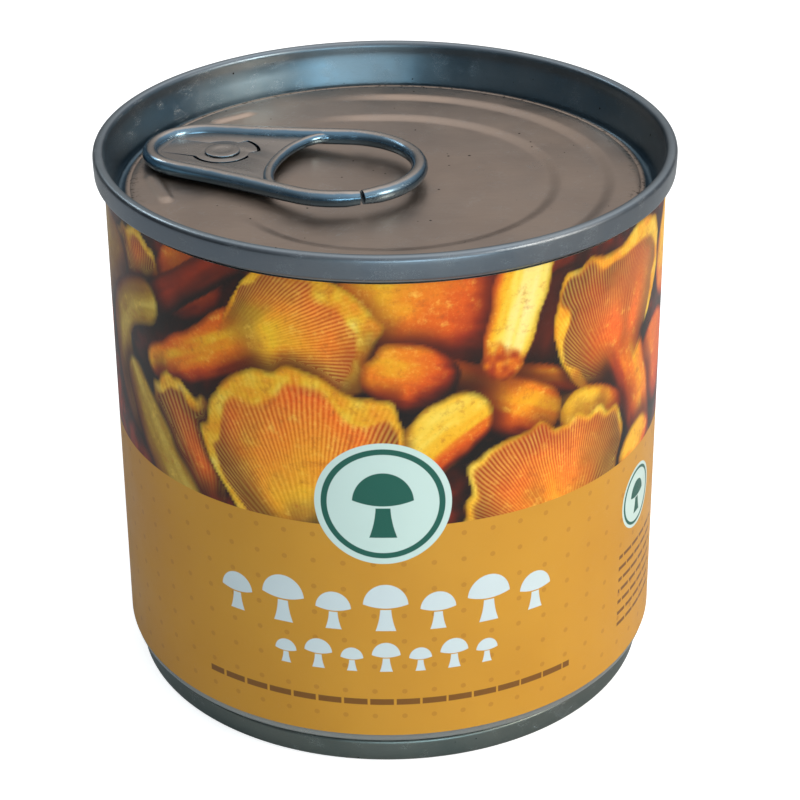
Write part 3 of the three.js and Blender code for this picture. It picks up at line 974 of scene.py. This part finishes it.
class Picture:
    """The printed picture: a colour and a gill pattern for each point of the flat label."""

    def __init__(self, across, up):
        self.across = across
        self.up = up
        ground = 0.6 * mottle(across / 5, up / 5, 1) + 0.25 * patches(across, up, 5)
        self.colour = tint((0.12, SOIL), (0.36, (92, 42, 26)), (0.6, RUST), (0.85, ORANGE))(ground)
        self.gill = np.zeros((len(across), 3))

    def offset(self, at):
        """How far each point is from a place, the nearer way round the repeating panel."""
        x = self.across - at[0]
        x = x - PANEL_REPEAT * np.round(x / PANEL_REPEAT)
        return x, self.up - at[1]

    def lay(self, inside, colour, phase=0.0, strength=0.0, fork=0.0, fade=1.0):
        """Lays down one piece where `inside`, in mm, is above 0, with its shadow round it.
        Where `fade` is under 1, the piece melts into what is behind it."""
        uneven = 0.35 + 0.95 * patches(self.across / 5, self.up / 5, 91)
        shadow = np.clip(0.62 * smooth(-3.2, 0.2, inside) * fade * uneven, 0, 0.85)
        self.colour *= 1 - shadow[:, None] * (1 - np.array((0.34, 0.18, 0.12)))
        mask = smooth(-0.14, 0.14, inside) * fade
        edge = 1 - 0.3 * uneven * (1 - smooth(0.0, 0.9, inside))
        self.colour = over(self.colour, colour * edge[:, None], mask)
        here = np.zeros_like(self.gill)
        here[:, 0] = phase
        here[:, 1] = strength * smooth(0.2, 0.9, inside) * fade
        here[:, 2] = fork
        faded = self.gill * (1 - smooth(-1.0, 0.0, inside)[:, None])
        self.gill = np.where(inside[:, None] > 0, here, faded)


print("painting tools ready")


# %% Rule 1: the gilled underside of a cap
def fan(picture, apex, aim, reach, spread, stem, colours, gills, seed, rim=2.0, curl=0.0,
        flank=0.3):
    x, y = picture.offset(apex)
    radius = np.hypot(x, y) + 1e-6
    turn = np.arctan2(y, x) - math.radians(aim) - curl * radius / reach
    turn = (turn + math.pi) % math.tau - math.pi
    share = turn / math.radians(spread)
    wave = 0.2 * (patches(2.2 * share + 7, 0 * share + seed, seed) - 0.5)
    wave += 0.09 * (patches(8 * share, 0 * share, seed + 2) - 0.5)
    margin = reach * (1 + wave - flank * np.abs(share) ** 3)
    opening = math.radians(spread) * smooth(0.0, 0.75, radius / reach)
    opening += np.arcsin(np.clip(stem / 2 / radius, 0, 1))
    side = (opening - np.abs(turn)) * radius * 0.9
    inside = np.minimum(margin - radius, side)
    out = np.clip(radius / margin, 0, 1)
    ragged = rim * (0.2 + 1.7 * patches(3.4 * share, 0.3 * radius, seed + 5))
    lip = smooth(ragged + 0.9, ragged - 0.5, margin - radius) * smooth(0.45, 0.75, out)
    cloud = mottle(x / 4.5, y / 4.5, seed)
    body = tint(*colours)(np.clip(out + 0.4 * (cloud - 0.5), 0, 1))
    fold = patches(3.2 * share + 3, 0.1 * radius, seed + 8)
    body = body * (0.74 + 0.3 * cloud + 0.3 * fold)[:, None]
    body = body * (1 - 0.35 * np.abs(np.clip(share, -1, 1))[:, None] ** 3)
    pale = tint((0, AMBER), (0.45, YELLOW), (0.8, PALE), (1, CREAM))(mottle(x / 2, y / 2, seed + 9))
    colour = over(body, pale, lip)
    strength = (1 - 0.7 * lip) * (0.35 + 0.65 * smooth(0.25, 0.8, out))
    strength *= smooth(0.12, 0.4, radius / gills) * (0.35 + 0.9 * mottle(x / 3, y / 3, seed + 12))
    fork = smooth(0.42, 0.6, out + 0.3 * (fold - 0.5))
    picture.lay(inside, colour, turn * gills * 0.62 + 0.5 * cloud, strength, fork,
                smooth(0.08, 0.42, radius / reach))


# %% Rule 2: the smooth top of a cap
def dome(picture, centre, size, turn, colours, seed, light=(-0.45, 0.5), lump=0.1):
    x, y = picture.offset(centre)
    cosine = math.cos(math.radians(turn))
    sine = math.sin(math.radians(turn))
    along = (x * cosine + y * sine) / size[0]
    across = (y * cosine - x * sine) / size[1]
    angle = np.arctan2(across, along)
    bumps = patches(np.cos(angle) * 1.6 + 5, np.sin(angle) * 1.6 + 5, seed) - 0.5
    radius = np.hypot(along, across) * (1 + lump * 2 * bumps)
    height = np.sqrt(np.clip(1 - radius ** 2, 0, 1))
    glow = 0.5 * height + 0.12 + 0.42 * (light[0] * x / size[0] + light[1] * y / size[1])
    streak = mottle(along * 2.2, across * 5, seed + 4) - 0.5
    cloud = mottle(x / 2.5, y / 2.5, seed + 11) - 0.5
    colour = tint(*colours)(np.clip(glow + 0.26 * streak + 0.2 * cloud, 0, 1))
    picture.lay((1 - radius) * min(size), colour)


# %% Rule 3: a stem
def stalk(picture, points, widths, colours, seed, torn=0.0, side=0.3):
    x, y = picture.offset(points[0])
    bend = np.subtract(points[1], points[0])
    end = np.subtract(points[2], points[0])
    stops = np.linspace(0, 1, 17)
    curve = [2 * stop * (1 - stop) * bend + stop * stop * end for stop in stops]
    nearest = np.full(len(x), 1e9)
    along = np.zeros(len(x))
    across = np.zeros(len(x))
    for number, (start, finish) in enumerate(zip(curve, curve[1:])):
        run = finish - start
        share = ((x - start[0]) * run[0] + (y - start[1]) * run[1]) / (run @ run)
        share = np.clip(share, 0, 1)
        away_x = x - start[0] - share * run[0]
        away_y = y - start[1] - share * run[1]
        gap = np.hypot(away_x, away_y)
        beside = (run[0] * (y - start[1]) - run[1] * (x - start[0])) / math.sqrt(run @ run)
        closer = gap < nearest
        nearest = np.where(closer, gap, nearest)
        along = np.where(closer, (number + share) / 16, along)
        across = np.where(closer, beside, across)
    length = math.hypot(*end)
    width = widths[0] + (widths[1] - widths[0]) * along
    width = width * (1 + 0.2 * (patches(along * length / 3, 0 * along, seed) - 0.5))
    around = np.clip(across / (width / 2), -1, 1)
    fibre = patches(across * 1.6, along * length * 0.22, seed + 2) - 0.5
    cloud = mottle(x / 3, y / 3, seed + 6) - 0.5
    glow = 0.92 - 0.6 * np.abs(around - side) ** 1.6 + 0.28 * fibre + 0.2 * cloud
    colour = tint(*colours)(np.clip(glow, 0, 1))
    wound = torn * smooth(0.86, 0.99, along + 0.12 * (patches(x, y, seed) - 0.5))
    brown = tint((0, RUST), (1, AMBER))(patches(x * 1.2, y * 1.2, seed + 1))
    picture.lay(width / 2 - nearest, over(colour, brown, wound))


print("three painting rules ready")

# %% [markdown]
# The heap itself is a list of mushrooms, with places in millimetres on the flat label: 0 is the
# middle of the front panel, and heights are above the can's base. The far ones come first.

# %% The heap of mushrooms
GOLD = ((0.0, YELLOW), (0.4, AMBER), (0.75, ORANGE), (1.0, RUST))
EMBER = ((0.0, AMBER), (0.45, ORANGE), (0.8, RUST), (1.0, BARK))
GLOW = ((0.0, PALE), (0.4, YELLOW), (0.62, AMBER), (0.85, ORANGE), (1.0, RUST))
SMOOTH = ((0.0, BARK), (0.25, RUST), (0.5, ORANGE), (0.8, AMBER), (1.0, YELLOW))
RIPE = ((0.0, BARK), (0.2, RUST), (0.42, ORANGE), (0.65, AMBER), (0.85, YELLOW), (1.0, PALE))
SUNNY = ((0.0, RUST), (0.3, ORANGE), (0.55, YELLOW), (1.0, PALE))
STRAW = ((0.0, ORANGE), (0.35, YELLOW), (0.65, PALE), (1.0, CREAM))
MOSS = ((0.0, BARK), (0.4, (150, 110, 50)), (0.75, OLIVE), (1.0, (222, 204, 120)))
DUSKY = ((0.0, SOIL), (0.5, BARK), (1.0, RUST))


def paint_far(picture):
    dome(picture, (54, 61), (9, 8), 20, SUNNY, 31)
    dome(picture, (47, 47), (8, 7), -30, SMOOTH, 32)
    stalk(picture, ((-58, 40), (-53, 52), (-51, 68)), (8, 9), SMOOTH, 33)
    dome(picture, (-27, 66), (7, 5), 30, SMOOTH, 41)
    fan(picture, (-36, 57), 108, 14, 44, 5, EMBER, 16, 34)
    stalk(picture, ((-42, 57), (-33, 61), (-20, 71)), (5, 5), DUSKY, 35)
    dome(picture, (-48, 62), (8, 7), 20, MOSS, 36)
    dome(picture, (-14, 44), (9, 8), 20, SMOOTH, 42)
    dome(picture, (22, 62), (7, 6), 60, DUSKY, 43)
    dome(picture, (17, 43), (7, 5), 30, SMOOTH, 44)
    stalk(picture, ((20, 49), (25, 51), (31, 54)), (2.2, 2.6), MOSS, 45)


def paint_middle(picture):
    stalk(picture, ((9, 57), (14, 56), (25, 53)), (6, 4), SMOOTH, 37)
    dome(picture, (5, 66.5), (12, 8.6), -12, RIPE, 1, light=(-0.95, 0.35))
    stalk(picture, ((-33, 53), (-26, 56), (-16, 62)), (5, 10), SMOOTH, 2, side=0.2)
    fan(picture, (-22, 58.5), 20, 20.5, 42, 9, GLOW, 26, 3, rim=2.8)
    stalk(picture, ((3, 57.5), (10, 55), (19, 50.0)), (7.5, 8), SMOOTH, 4)
    dome(picture, (2.8, 57.4), (5.6, 4.2), -15, RIPE, 5, light=(-0.6, 0.6), lump=0.2)
    stalk(picture, ((18, 73), (16.5, 66), (14.5, 58.5)), (8.0, 6.4), STRAW, 6, torn=1.0)
    stalk(picture, ((42, 34), (40, 45), (34, 56)), (7, 9), SMOOTH, 7, side=-0.3)
    fan(picture, (35, 49), 112, 20.5, 52, 9, EMBER, 28, 8, rim=2.4, curl=-0.25)
    stalk(picture, ((-36, 60.5), (-51, 56), (-39, 44)), (6.5, 8), MOSS, 9)
    stalk(picture, ((7, 48), (3, 44), (-2, 38)), (6, 6), SUNNY, 46)
    dome(picture, (29, 46.8), (6.5, 3.6), -22, SUNNY, 10)


def paint_near(picture):
    fan(picture, (-23, 33), 114, 21, 28, 9, EMBER, 18, 11, rim=1.7)
    stalk(picture, ((-39.5, 48), (-34, 41), (-26, 30)), (6.5, 9), MOSS, 12)
    stalk(picture, ((0.5, 43), (5, 48.5), (9.2, 51)), (7.4, 8.6), SUNNY, 13, side=0.35)
    fan(picture, (-9.5, 30), 96, 27, 38, 16, GLOW, 27, 14, rim=2.6, flank=0.2)
    fan(picture, (24.5, 28), 103, 21.5, 46, 15, GOLD, 30, 15, rim=0.8, flank=0.12)
    dome(picture, (40, 38.0), (5, 3.4), 10, SUNNY, 16)


along = np.array([corner.co.x for corner in label_bm.verts])
height = np.array([corner.co.y for corner in label_bm.verts])
picture = Picture(along, height)
for layer in (paint_far, paint_middle, paint_near):
    layer(picture)
RICHER = 1.16
CONTRAST = 1.35
INK_STRENGTH = (0.85, 0.77, 0.76)
grey = picture.colour.mean(axis=1, keepdims=True)
screen = np.clip((grey + (picture.colour - grey) * RICHER), 0, 1) ** CONTRAST
light = to_light(screen) * INK_STRENGTH
print("painted points:", len(along), "mean colour", light.mean(axis=0).round(3))

# %% [markdown]
# ## The label: wrapping it
# Bending the flat sheet keeps every length round the can. The last 6 mm rise by one thickness of
# paper and lie over the start, which is the glued lap. The colours go onto the finished mesh as
# attributes, one value for each point.

# %% Wrapping
for corner in label_bm.verts:
    place = corner.co.copy()
    past = place.x - (LABEL_START + AROUND)
    lift = (PAPER + 0.01) * smooth(-1.4, -0.2, past)
    turn = place.x / LABEL_RADIUS - math.pi / 2
    reach = LABEL_RADIUS + place.z + lift
    corner.co = (reach * math.cos(turn), reach * math.sin(turn), place.y)
printed = bpy.data.materials.new("Printed paper")
label = piece("label_sheet", label_bm, printed, sharp=60)
paint = label.data.attributes.new("Print", "FLOAT_COLOR", "POINT")
paint.data.foreach_set("color", np.column_stack([light, np.ones(len(light))]).ravel())
gills = label.data.attributes.new("Gills", "FLOAT_VECTOR", "POINT")
gills.data.foreach_set("vector", picture.gill.ravel())
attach(label, "can")
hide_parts("paper_label")
corners = np.array([corner.co for corner in label.data.vertices]) / MM
print("label outside radius", round(float(np.hypot(corners[:, 0], corners[:, 1]).max()), 2), "mm")

# %% [markdown]
# ## The label: ornaments
# Crisp shapes would be blurred by the points of the paper, so the material works them out as
# distances on the flat print, with edges a twentieth of a millimetre wide. Each is a node group
# with its own dials: a grid of dots, rows of dashes, a round medallion and a small mushroom sign.
# The signs stand in rows where a label would carry words, so nothing on the can has to be read.


# %% Groups: dots, dashes, rings, mushroom signs
def near_one(value, pitch, first):
    """How far a value is from the nearest of evenly spaced places."""
    moved = (value - first) / pitch
    return (moved - moved.math("ROUND")).math("ABSOLUTE") * pitch


EDGE = 0.05
dot_grid, given, leave = new_group(
    "Dot grid", [("Place", "vector"), ("Pitch", "number"), ("Radius", "number")],
    [("Dots", "number")])
x, y, _ = split(given["Place"])
gap_x = near_one(x, given["Pitch"], 0.0)
gap_y = near_one(y, given["Pitch"], 0.0)
gap = length(gap_x, gap_y) - given["Radius"]
connect(dot_grid, leave.inputs["Dots"], gap.ramp(EDGE, -EDGE))

dashes, given, leave = new_group(
    "Dashed rows",
    [("Place", "vector"), ("Dash", "number"), ("Row pitch", "number"), ("Row height", "number"),
     ("Half width", "number"), ("Half height", "number")],
    [("Dashes", "number")])
x, y, _ = split(given["Place"])
row = (y / given["Row pitch"]).math("ROUND")
slide = noise(join(dashes, row, x * 0.0, 3.7), 1.9, 0.0) * 9
lengths = noise(join(dashes, ((x + slide) / given["Dash"]).math("ROUND"), row, 1.3), 1.7, 0.0)
gap_x = near_one(x + slide, given["Dash"], 0.0)
half = given["Dash"] * 0.5 - lengths * 0.3
gap_y = near_one(y, given["Row pitch"], 0.0) - given["Row height"] * 0.5
box = gap_x.math("SUBTRACT", half).math("MAXIMUM", gap_y)
box = box.math("MAXIMUM", x.math("ABSOLUTE") - given["Half width"])
box = box.math("MAXIMUM", y.math("ABSOLUTE") - given["Half height"])
connect(dashes, leave.inputs["Dashes"], box.ramp(EDGE, -EDGE))

ring_shape, given, leave = new_group(
    "Ring", [("Place", "vector"), ("Radius", "number"), ("Width", "number")],
    [("Disc", "number"), ("Ring", "number")])
x, y, _ = split(given["Place"])
far = length(x, y) - given["Radius"]
connect(ring_shape, leave.inputs["Disc"], far.ramp(EDGE, -EDGE))
band = far.math("ABSOLUTE") - given["Width"] * 0.5
connect(ring_shape, leave.inputs["Ring"], band.ramp(EDGE, -EDGE))

sign, given, leave = new_group(
    "Mushroom sign", [("Place", "vector"), ("Height", "number"), ("Pitch", "number"),
                      ("Half width", "number")],
    [("Sign", "number")])
x, y, _ = split(given["Place"])
odd = ((x / given["Pitch"]).math("ROUND") * 0.5).math("FRACT").math("ABSOLUTE").ramp(0.2, 0.3)
size = given["Height"] * (odd * -0.2 + 1.0)
across = near_one(x, given["Pitch"], 0.0) / size
up = (y + given["Height"] * 0.5) / size
dome_x = across / 0.40
dome_y = (up - 0.52) / 0.44
cap = (length(dome_x, dome_y) - 1.0) * 0.4
cap = cap.math("MAXIMUM", across * across * 0.5 + 0.47 - up)
foot = (up * -1.0 + 0.5).math("MAXIMUM", 0.0)
stem = across - foot * foot * 0.35 - 0.095
stem = stem.math("MAXIMUM", up - 0.44).math("MAXIMUM", up * -1.0)
shape = cap.math("MINIMUM", stem) * size
shape = shape.math("MAXIMUM", x.math("ABSOLUTE") - given["Half width"])
connect(sign, leave.inputs["Sign"], shape.ramp(EDGE, -EDGE))
print("ornament groups:", [g.name for g in (dot_grid, dashes, ring_shape, sign)])

# %% [markdown]
# ## The label: ink and varnish
# The material lays its layers as a press would: the picture above, with its gills, its fine grain
# and its blotches, and a warm amber field below. Then come the dots, the medallions, the rows of
# signs and the fine brown dashes, and at last the varnish. Under the varnish the paper's fibres
# show as very small changes of relief.

# %% Printed paper
printed.use_nodes = True
tree = printed.node_tree
shader = tree.nodes["Principled BSDF"]
flat = make(tree, "UVMap", "UV", settings={"uv_map": "Label"})
u, z, _ = split(flat)
panel_u = u - (u / PANEL_REPEAT).math("ROUND") * PANEL_REPEAT


def print_at(across, up):
    """The place on the print, measured from a point of the panel."""
    return join(tree, panel_u - across, z - up)


def attribute(name, output):
    return make(tree, "Attribute", output, settings={"attribute_name": name})


picture_ink = attribute("Print", "Color")
phase, strength, fork = split(attribute("Gills", "Vector"))
ridge = (phase * math.tau).math("COSINE")
forked = (phase * 2 * math.tau).math("COSINE")
ridge = (ridge + (forked - ridge) * fork) * 0.5 + 0.5
ridge_shade = (ridge * -1.0 + 1.0) * strength
lit = attribute("Print", "Fac").ramp(0.06, 0.3)
grain = noise(flat, 1.6, 6.0, 0.7)
blotch = noise(flat, 0.5, 5.0, 0.65)
for mask, colour in (
        (ridge_shade * 0.42, linear(140, 52, 10)),
        (ridge * strength * 0.3, linear(252, 214, 96)),
        (grain.ramp(0.5, 0.8) * lit * 0.3, linear(252, 206, 90)),
        (grain.ramp(0.5, 0.2) * 0.3, linear(70, 28, 14)),
        (blotch.ramp(0.52, 0.72) * lit * 0.5, linear(170, 76, 18)),
        (blotch.ramp(0.46, 0.28) * lit * 0.4, linear(250, 204, 84))):
    picture_ink = mix(tree, mask, picture_ink, colour)

AMBER_FIELD = linear(194, 137, 42)
field = mix(tree, noise(flat, 0.06, 2.0).ramp(0.3, 0.7) * 0.5, AMBER_FIELD, linear(186, 127, 34))
dots = place_group(tree, dot_grid, Place=print_at(-24.97, 8.3), Pitch=3.83, Radius=0.36)["Dots"]
field = mix(tree, dots * 0.55, field, linear(166, 108, 34))
ink = mix(tree, z.ramp(BAND_EDGE - 0.04, BAND_EDGE + 0.04), field, picture_ink)

PALE_INK = linear(196, 205, 208)
MINT = linear(190, 208, 202)
GREEN = linear(24, 84, 72)
BROWN_INK = linear(104, 62, 22)


def medallion(below, across, up, radius, height):
    """A pale disc with a green ring and one mushroom sign."""
    at = print_at(across, up)
    outer = place_group(tree, ring_shape, Place=at, Radius=radius, Width=0.3)
    inner = place_group(tree, ring_shape, Place=at, Radius=radius * 0.86, Width=radius * 0.09)
    mark = place_group(tree, sign, Place=at, Height=height, Pitch=40.0,
                       Half_width=radius * 0.8)["Sign"]
    laid = mix(tree, outer["Disc"], below, MINT)
    laid = mix(tree, inner["Ring"], laid, GREEN)
    return mix(tree, mark, laid, GREEN)


ink = medallion(ink, -0.7, 40.0, 8.6, 9.6)
ink = medallion(ink, 41.0, 29.0, 4.6, 5.0)
for up, tall, pitch, half in ((25.0, 7.2, 6.7, 23.4), (17.5, 4.6, 4.4, 15.3)):
    row = place_group(tree, sign, Place=print_at(-0.5, up), Height=tall, Pitch=pitch,
                      Half_width=half)["Sign"]
    ink = mix(tree, row, ink, PALE_INK)
for across, up, dash, pitch, tall, half_width, half_height in (
        (0.0, 10.5, 3.4, 9.0, 0.9, 25.6, 0.9), (42.5, 16.4, 2.6, 1.75, 0.55, 6.4, 6.4)):
    marks = place_group(tree, dashes, Place=print_at(across, up), Dash=dash, Row_pitch=pitch,
                        Row_height=tall, Half_width=half_width, Half_height=half_height)
    ink = mix(tree, marks["Dashes"] * 0.9, ink, BROWN_INK)
outside = millimetres(tree)
x, y, _ = split(outside)
print_side = length(x, y).ramp(LABEL_RADIUS - PAPER * 0.8, LABEL_RADIUS - PAPER * 0.4)
fibres = noise(outside, 3.0, 5.0, 0.7)
bare_paper = mix(tree, fibres * 0.2, linear(226, 220, 208), linear(190, 180, 165))
wear = place_group(tree, handling, Position=outside, Smudge_size=0.06, Scratches=0.6, Specks=0.0)
fill(tree, shader, Base_Color=mix(tree, print_side, bare_paper, ink),
     Roughness=wear["Smudge"] * 0.12 + fibres * 0.06 + 0.34, Specular_IOR_Level=0.28,
     Coat_Weight=0.06, Coat_Roughness=0.2)
waves = noise(outside, 0.045, 2.0) * 0.12
relief(tree, shader, waves + fibres * 0.008 - wear["Scratch"] * 0.01, 1.0)
print("label nodes:", len(tree.nodes))

# %% [markdown]
# ## The mushrooms inside
# Fourteen small chanterelles fill the can in two layers. A chanterelle is a stem that widens into
# a funnel, with blunt ridges down its outside and a wavy rim. Each one is a turned line whose
# points are then moved in and out round the axis: seven waves at the rim and two dozen ridges
# below it. The numbers come from the mushroom's own box, so each fits the place that the packed
# model gives it.

# %% Mushroom flesh
flesh, tree, shader = new_material("Mushroom flesh")
where = millimetres(tree)
cloud = noise(where, 0.16, 4.0, 0.6)
golden = mix(tree, cloud.ramp(0.3, 0.7), (0.80, 0.36, 0.04, 1), (0.90, 0.55, 0.12, 1))
bruise = noise(where, 0.4, 3.0).ramp(0.6, 0.75)
bruised = mix(tree, bruise * 0.5, golden, (0.35, 0.13, 0.03, 1))
fill(tree, shader, Base_Color=bruised, Roughness=cloud * 0.2 + 0.32, Subsurface_Weight=0.15,
     Subsurface_Radius=(0.003, 0.0015, 0.0006))
relief(tree, shader, noise(where, 1.2, 4.0), 0.15)

# %% Mushrooms
FUNNEL = [(0, 0), (0.14, 0.004), (0.2, 0.025), (0.24, 0.1), (0.26, 0.2), (0.29, 0.34),
          (0.33, 0.48), (0.42, 0.61), (0.55, 0.72), (0.72, 0.81), (0.88, 0.89), (0.96, 0.94),
          (0.98, 0.965), (0.95, 0.985), (0.87, 0.985), (0.7, 0.94), (0.5, 0.885), (0.3, 0.84),
          (0.12, 0.81), (0, 0.80)]
MUSHROOMS = 14
RIDGES = 24
WAVES = 7
for number in range(1, MUSHROOMS + 1):
    node = f"chanterelle_{number:02d}"
    low, high = (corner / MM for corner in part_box(node))
    tall = high.z - low.z
    cap = min(high.x - low.x, high.y - low.y) / 2
    middle = (low + high) / 2
    skin = turned_skin([(radius * cap, level * tall) for radius, level in FUNNEL], steps=96)
    for corner in skin.verts:
        turn = math.atan2(corner.co.y, corner.co.x)
        level = corner.co.z / tall
        outside_cap = smooth(0.25, 0.6, level)
        ridge = 0.045 * outside_cap * (math.cos(RIDGES * turn + number) ** 2 - 1)
        wave = 0.07 * smooth(0.5, 1.0, level) * (math.sin(WAVES * turn + number) - 1)
        lean = 0.05 * math.sin(2 * turn + number) - 0.05
        corner.co.xy *= 1 + ridge + wave + lean * (1 - level)
    if number % 3 == 0:
        bmesh.ops.rotate(skin, verts=skin.verts, cent=(0, 0, tall / 2),
                         matrix=Matrix.Rotation(math.pi, 3, "X"))
    bmesh.ops.translate(skin, verts=skin.verts, vec=(middle.x, middle.y, low.z))
    mushroom = piece(f"mushroom_{number:02d}", skin, flesh, sharp=70)
    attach(mushroom, "can")
    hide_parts(node)

# %% [markdown]
# ## Floor and light
# A plain pale floor and a pale sky stand for a studio. Metal shows what is around it, so the
# lights are large and soft. The key is warm and high on the right. A wide cool one stands low in
# front of the can, where the inside of the rim mirrors it as a soft glow. A small window high at
# the back left picks out the pressed steps. The sky is brighter overhead and on the right.

# %% Floor
floor_bm = bmesh.new()
bmesh.ops.create_grid(floor_bm, x_segments=1, y_segments=1, size=2000)
floor_material, tree, shader = new_material("Floor")
speckle = noise(millimetres(tree), 0.02, 2.0)
pale_grey = mix(tree, speckle * 0.05, (0.60, 0.60, 0.60, 1), (0.52, 0.52, 0.52, 1))
FLOOR_LIFT = 0.75
seen = make(tree, "LightPath", "Is Camera Ray")
fill(tree, shader, Base_Color=pale_grey, Roughness=0.7, Emission_Color=(1, 1, 1, 1),
     Emission_Strength=seen * FLOOR_LIFT)
floor_mesh = bpy.data.meshes.new("floor")
floor_bm.to_mesh(floor_mesh)
floor_bm.free()
floor_mesh.transform(Matrix.Scale(MM, 4))
floor_mesh.materials.append(floor_material)
floor = bpy.data.objects.new("floor", floor_mesh)
bpy.context.collection.objects.link(floor)

# %% Lights
world = bpy.data.worlds.new("Studio")
bpy.context.scene.world = world
world.use_nodes = True
sky = world.node_tree
room = sky.nodes["Background"]
east, _, up = split(make(sky, "TexCoord", "Generated"))
above = up.ramp(-0.05, 0.5) * 0.32 + up.ramp(0.35, 0.95) * 0.75 + 0.14
fill(sky, room, Color=(0.93, 0.97, 1.0, 1), Strength=above * (east * 0.6 + 0.88))
choose = sky.nodes.new("ShaderNodeMixShader")
for place, share in enumerate((make(sky, "LightPath", "Is Camera Ray"),
                               Wire(sky, room.outputs[0]),
                               make(sky, "Background", Color=(1, 1, 1, 1)))):
    connect(sky, choose.inputs[place], share)
fill(sky, sky.nodes["World Output"], Surface=Wire(sky, choose.outputs[0]))
bpy.context.scene.view_settings.view_transform = "Standard"


def soft_light(name, at, size, power, colour=(1, 1, 1)):
    """A rectangular light, in mm and watts, that faces the can."""
    data = bpy.data.lights.new(name, "AREA")
    data.shape = "RECTANGLE"
    data.size = size[0] * MM
    data.size_y = size[1] * MM
    data.energy = power
    data.color = colour
    item = bpy.data.objects.new(name, data)
    bpy.context.collection.objects.link(item)
    item.location = Vector(at) * MM
    aim = Vector((0, 0, 45)) * MM - item.location
    item.rotation_mode = "QUATERNION"
    item.rotation_quaternion = aim.to_track_quat("-Z", "Y")
    print(f"{name}: {power} W at {at} mm")


soft_light("key", (560, -300, 400), (260, 260), 2.9, (1.0, 0.9, 0.76))
soft_light("front", (150, -620, 150), (440, 220), 1.9, (0.70, 0.92, 1.0))
soft_light("window", (-380, 260, 460), (110, 180), 0.35, (0.85, 0.96, 1.0))
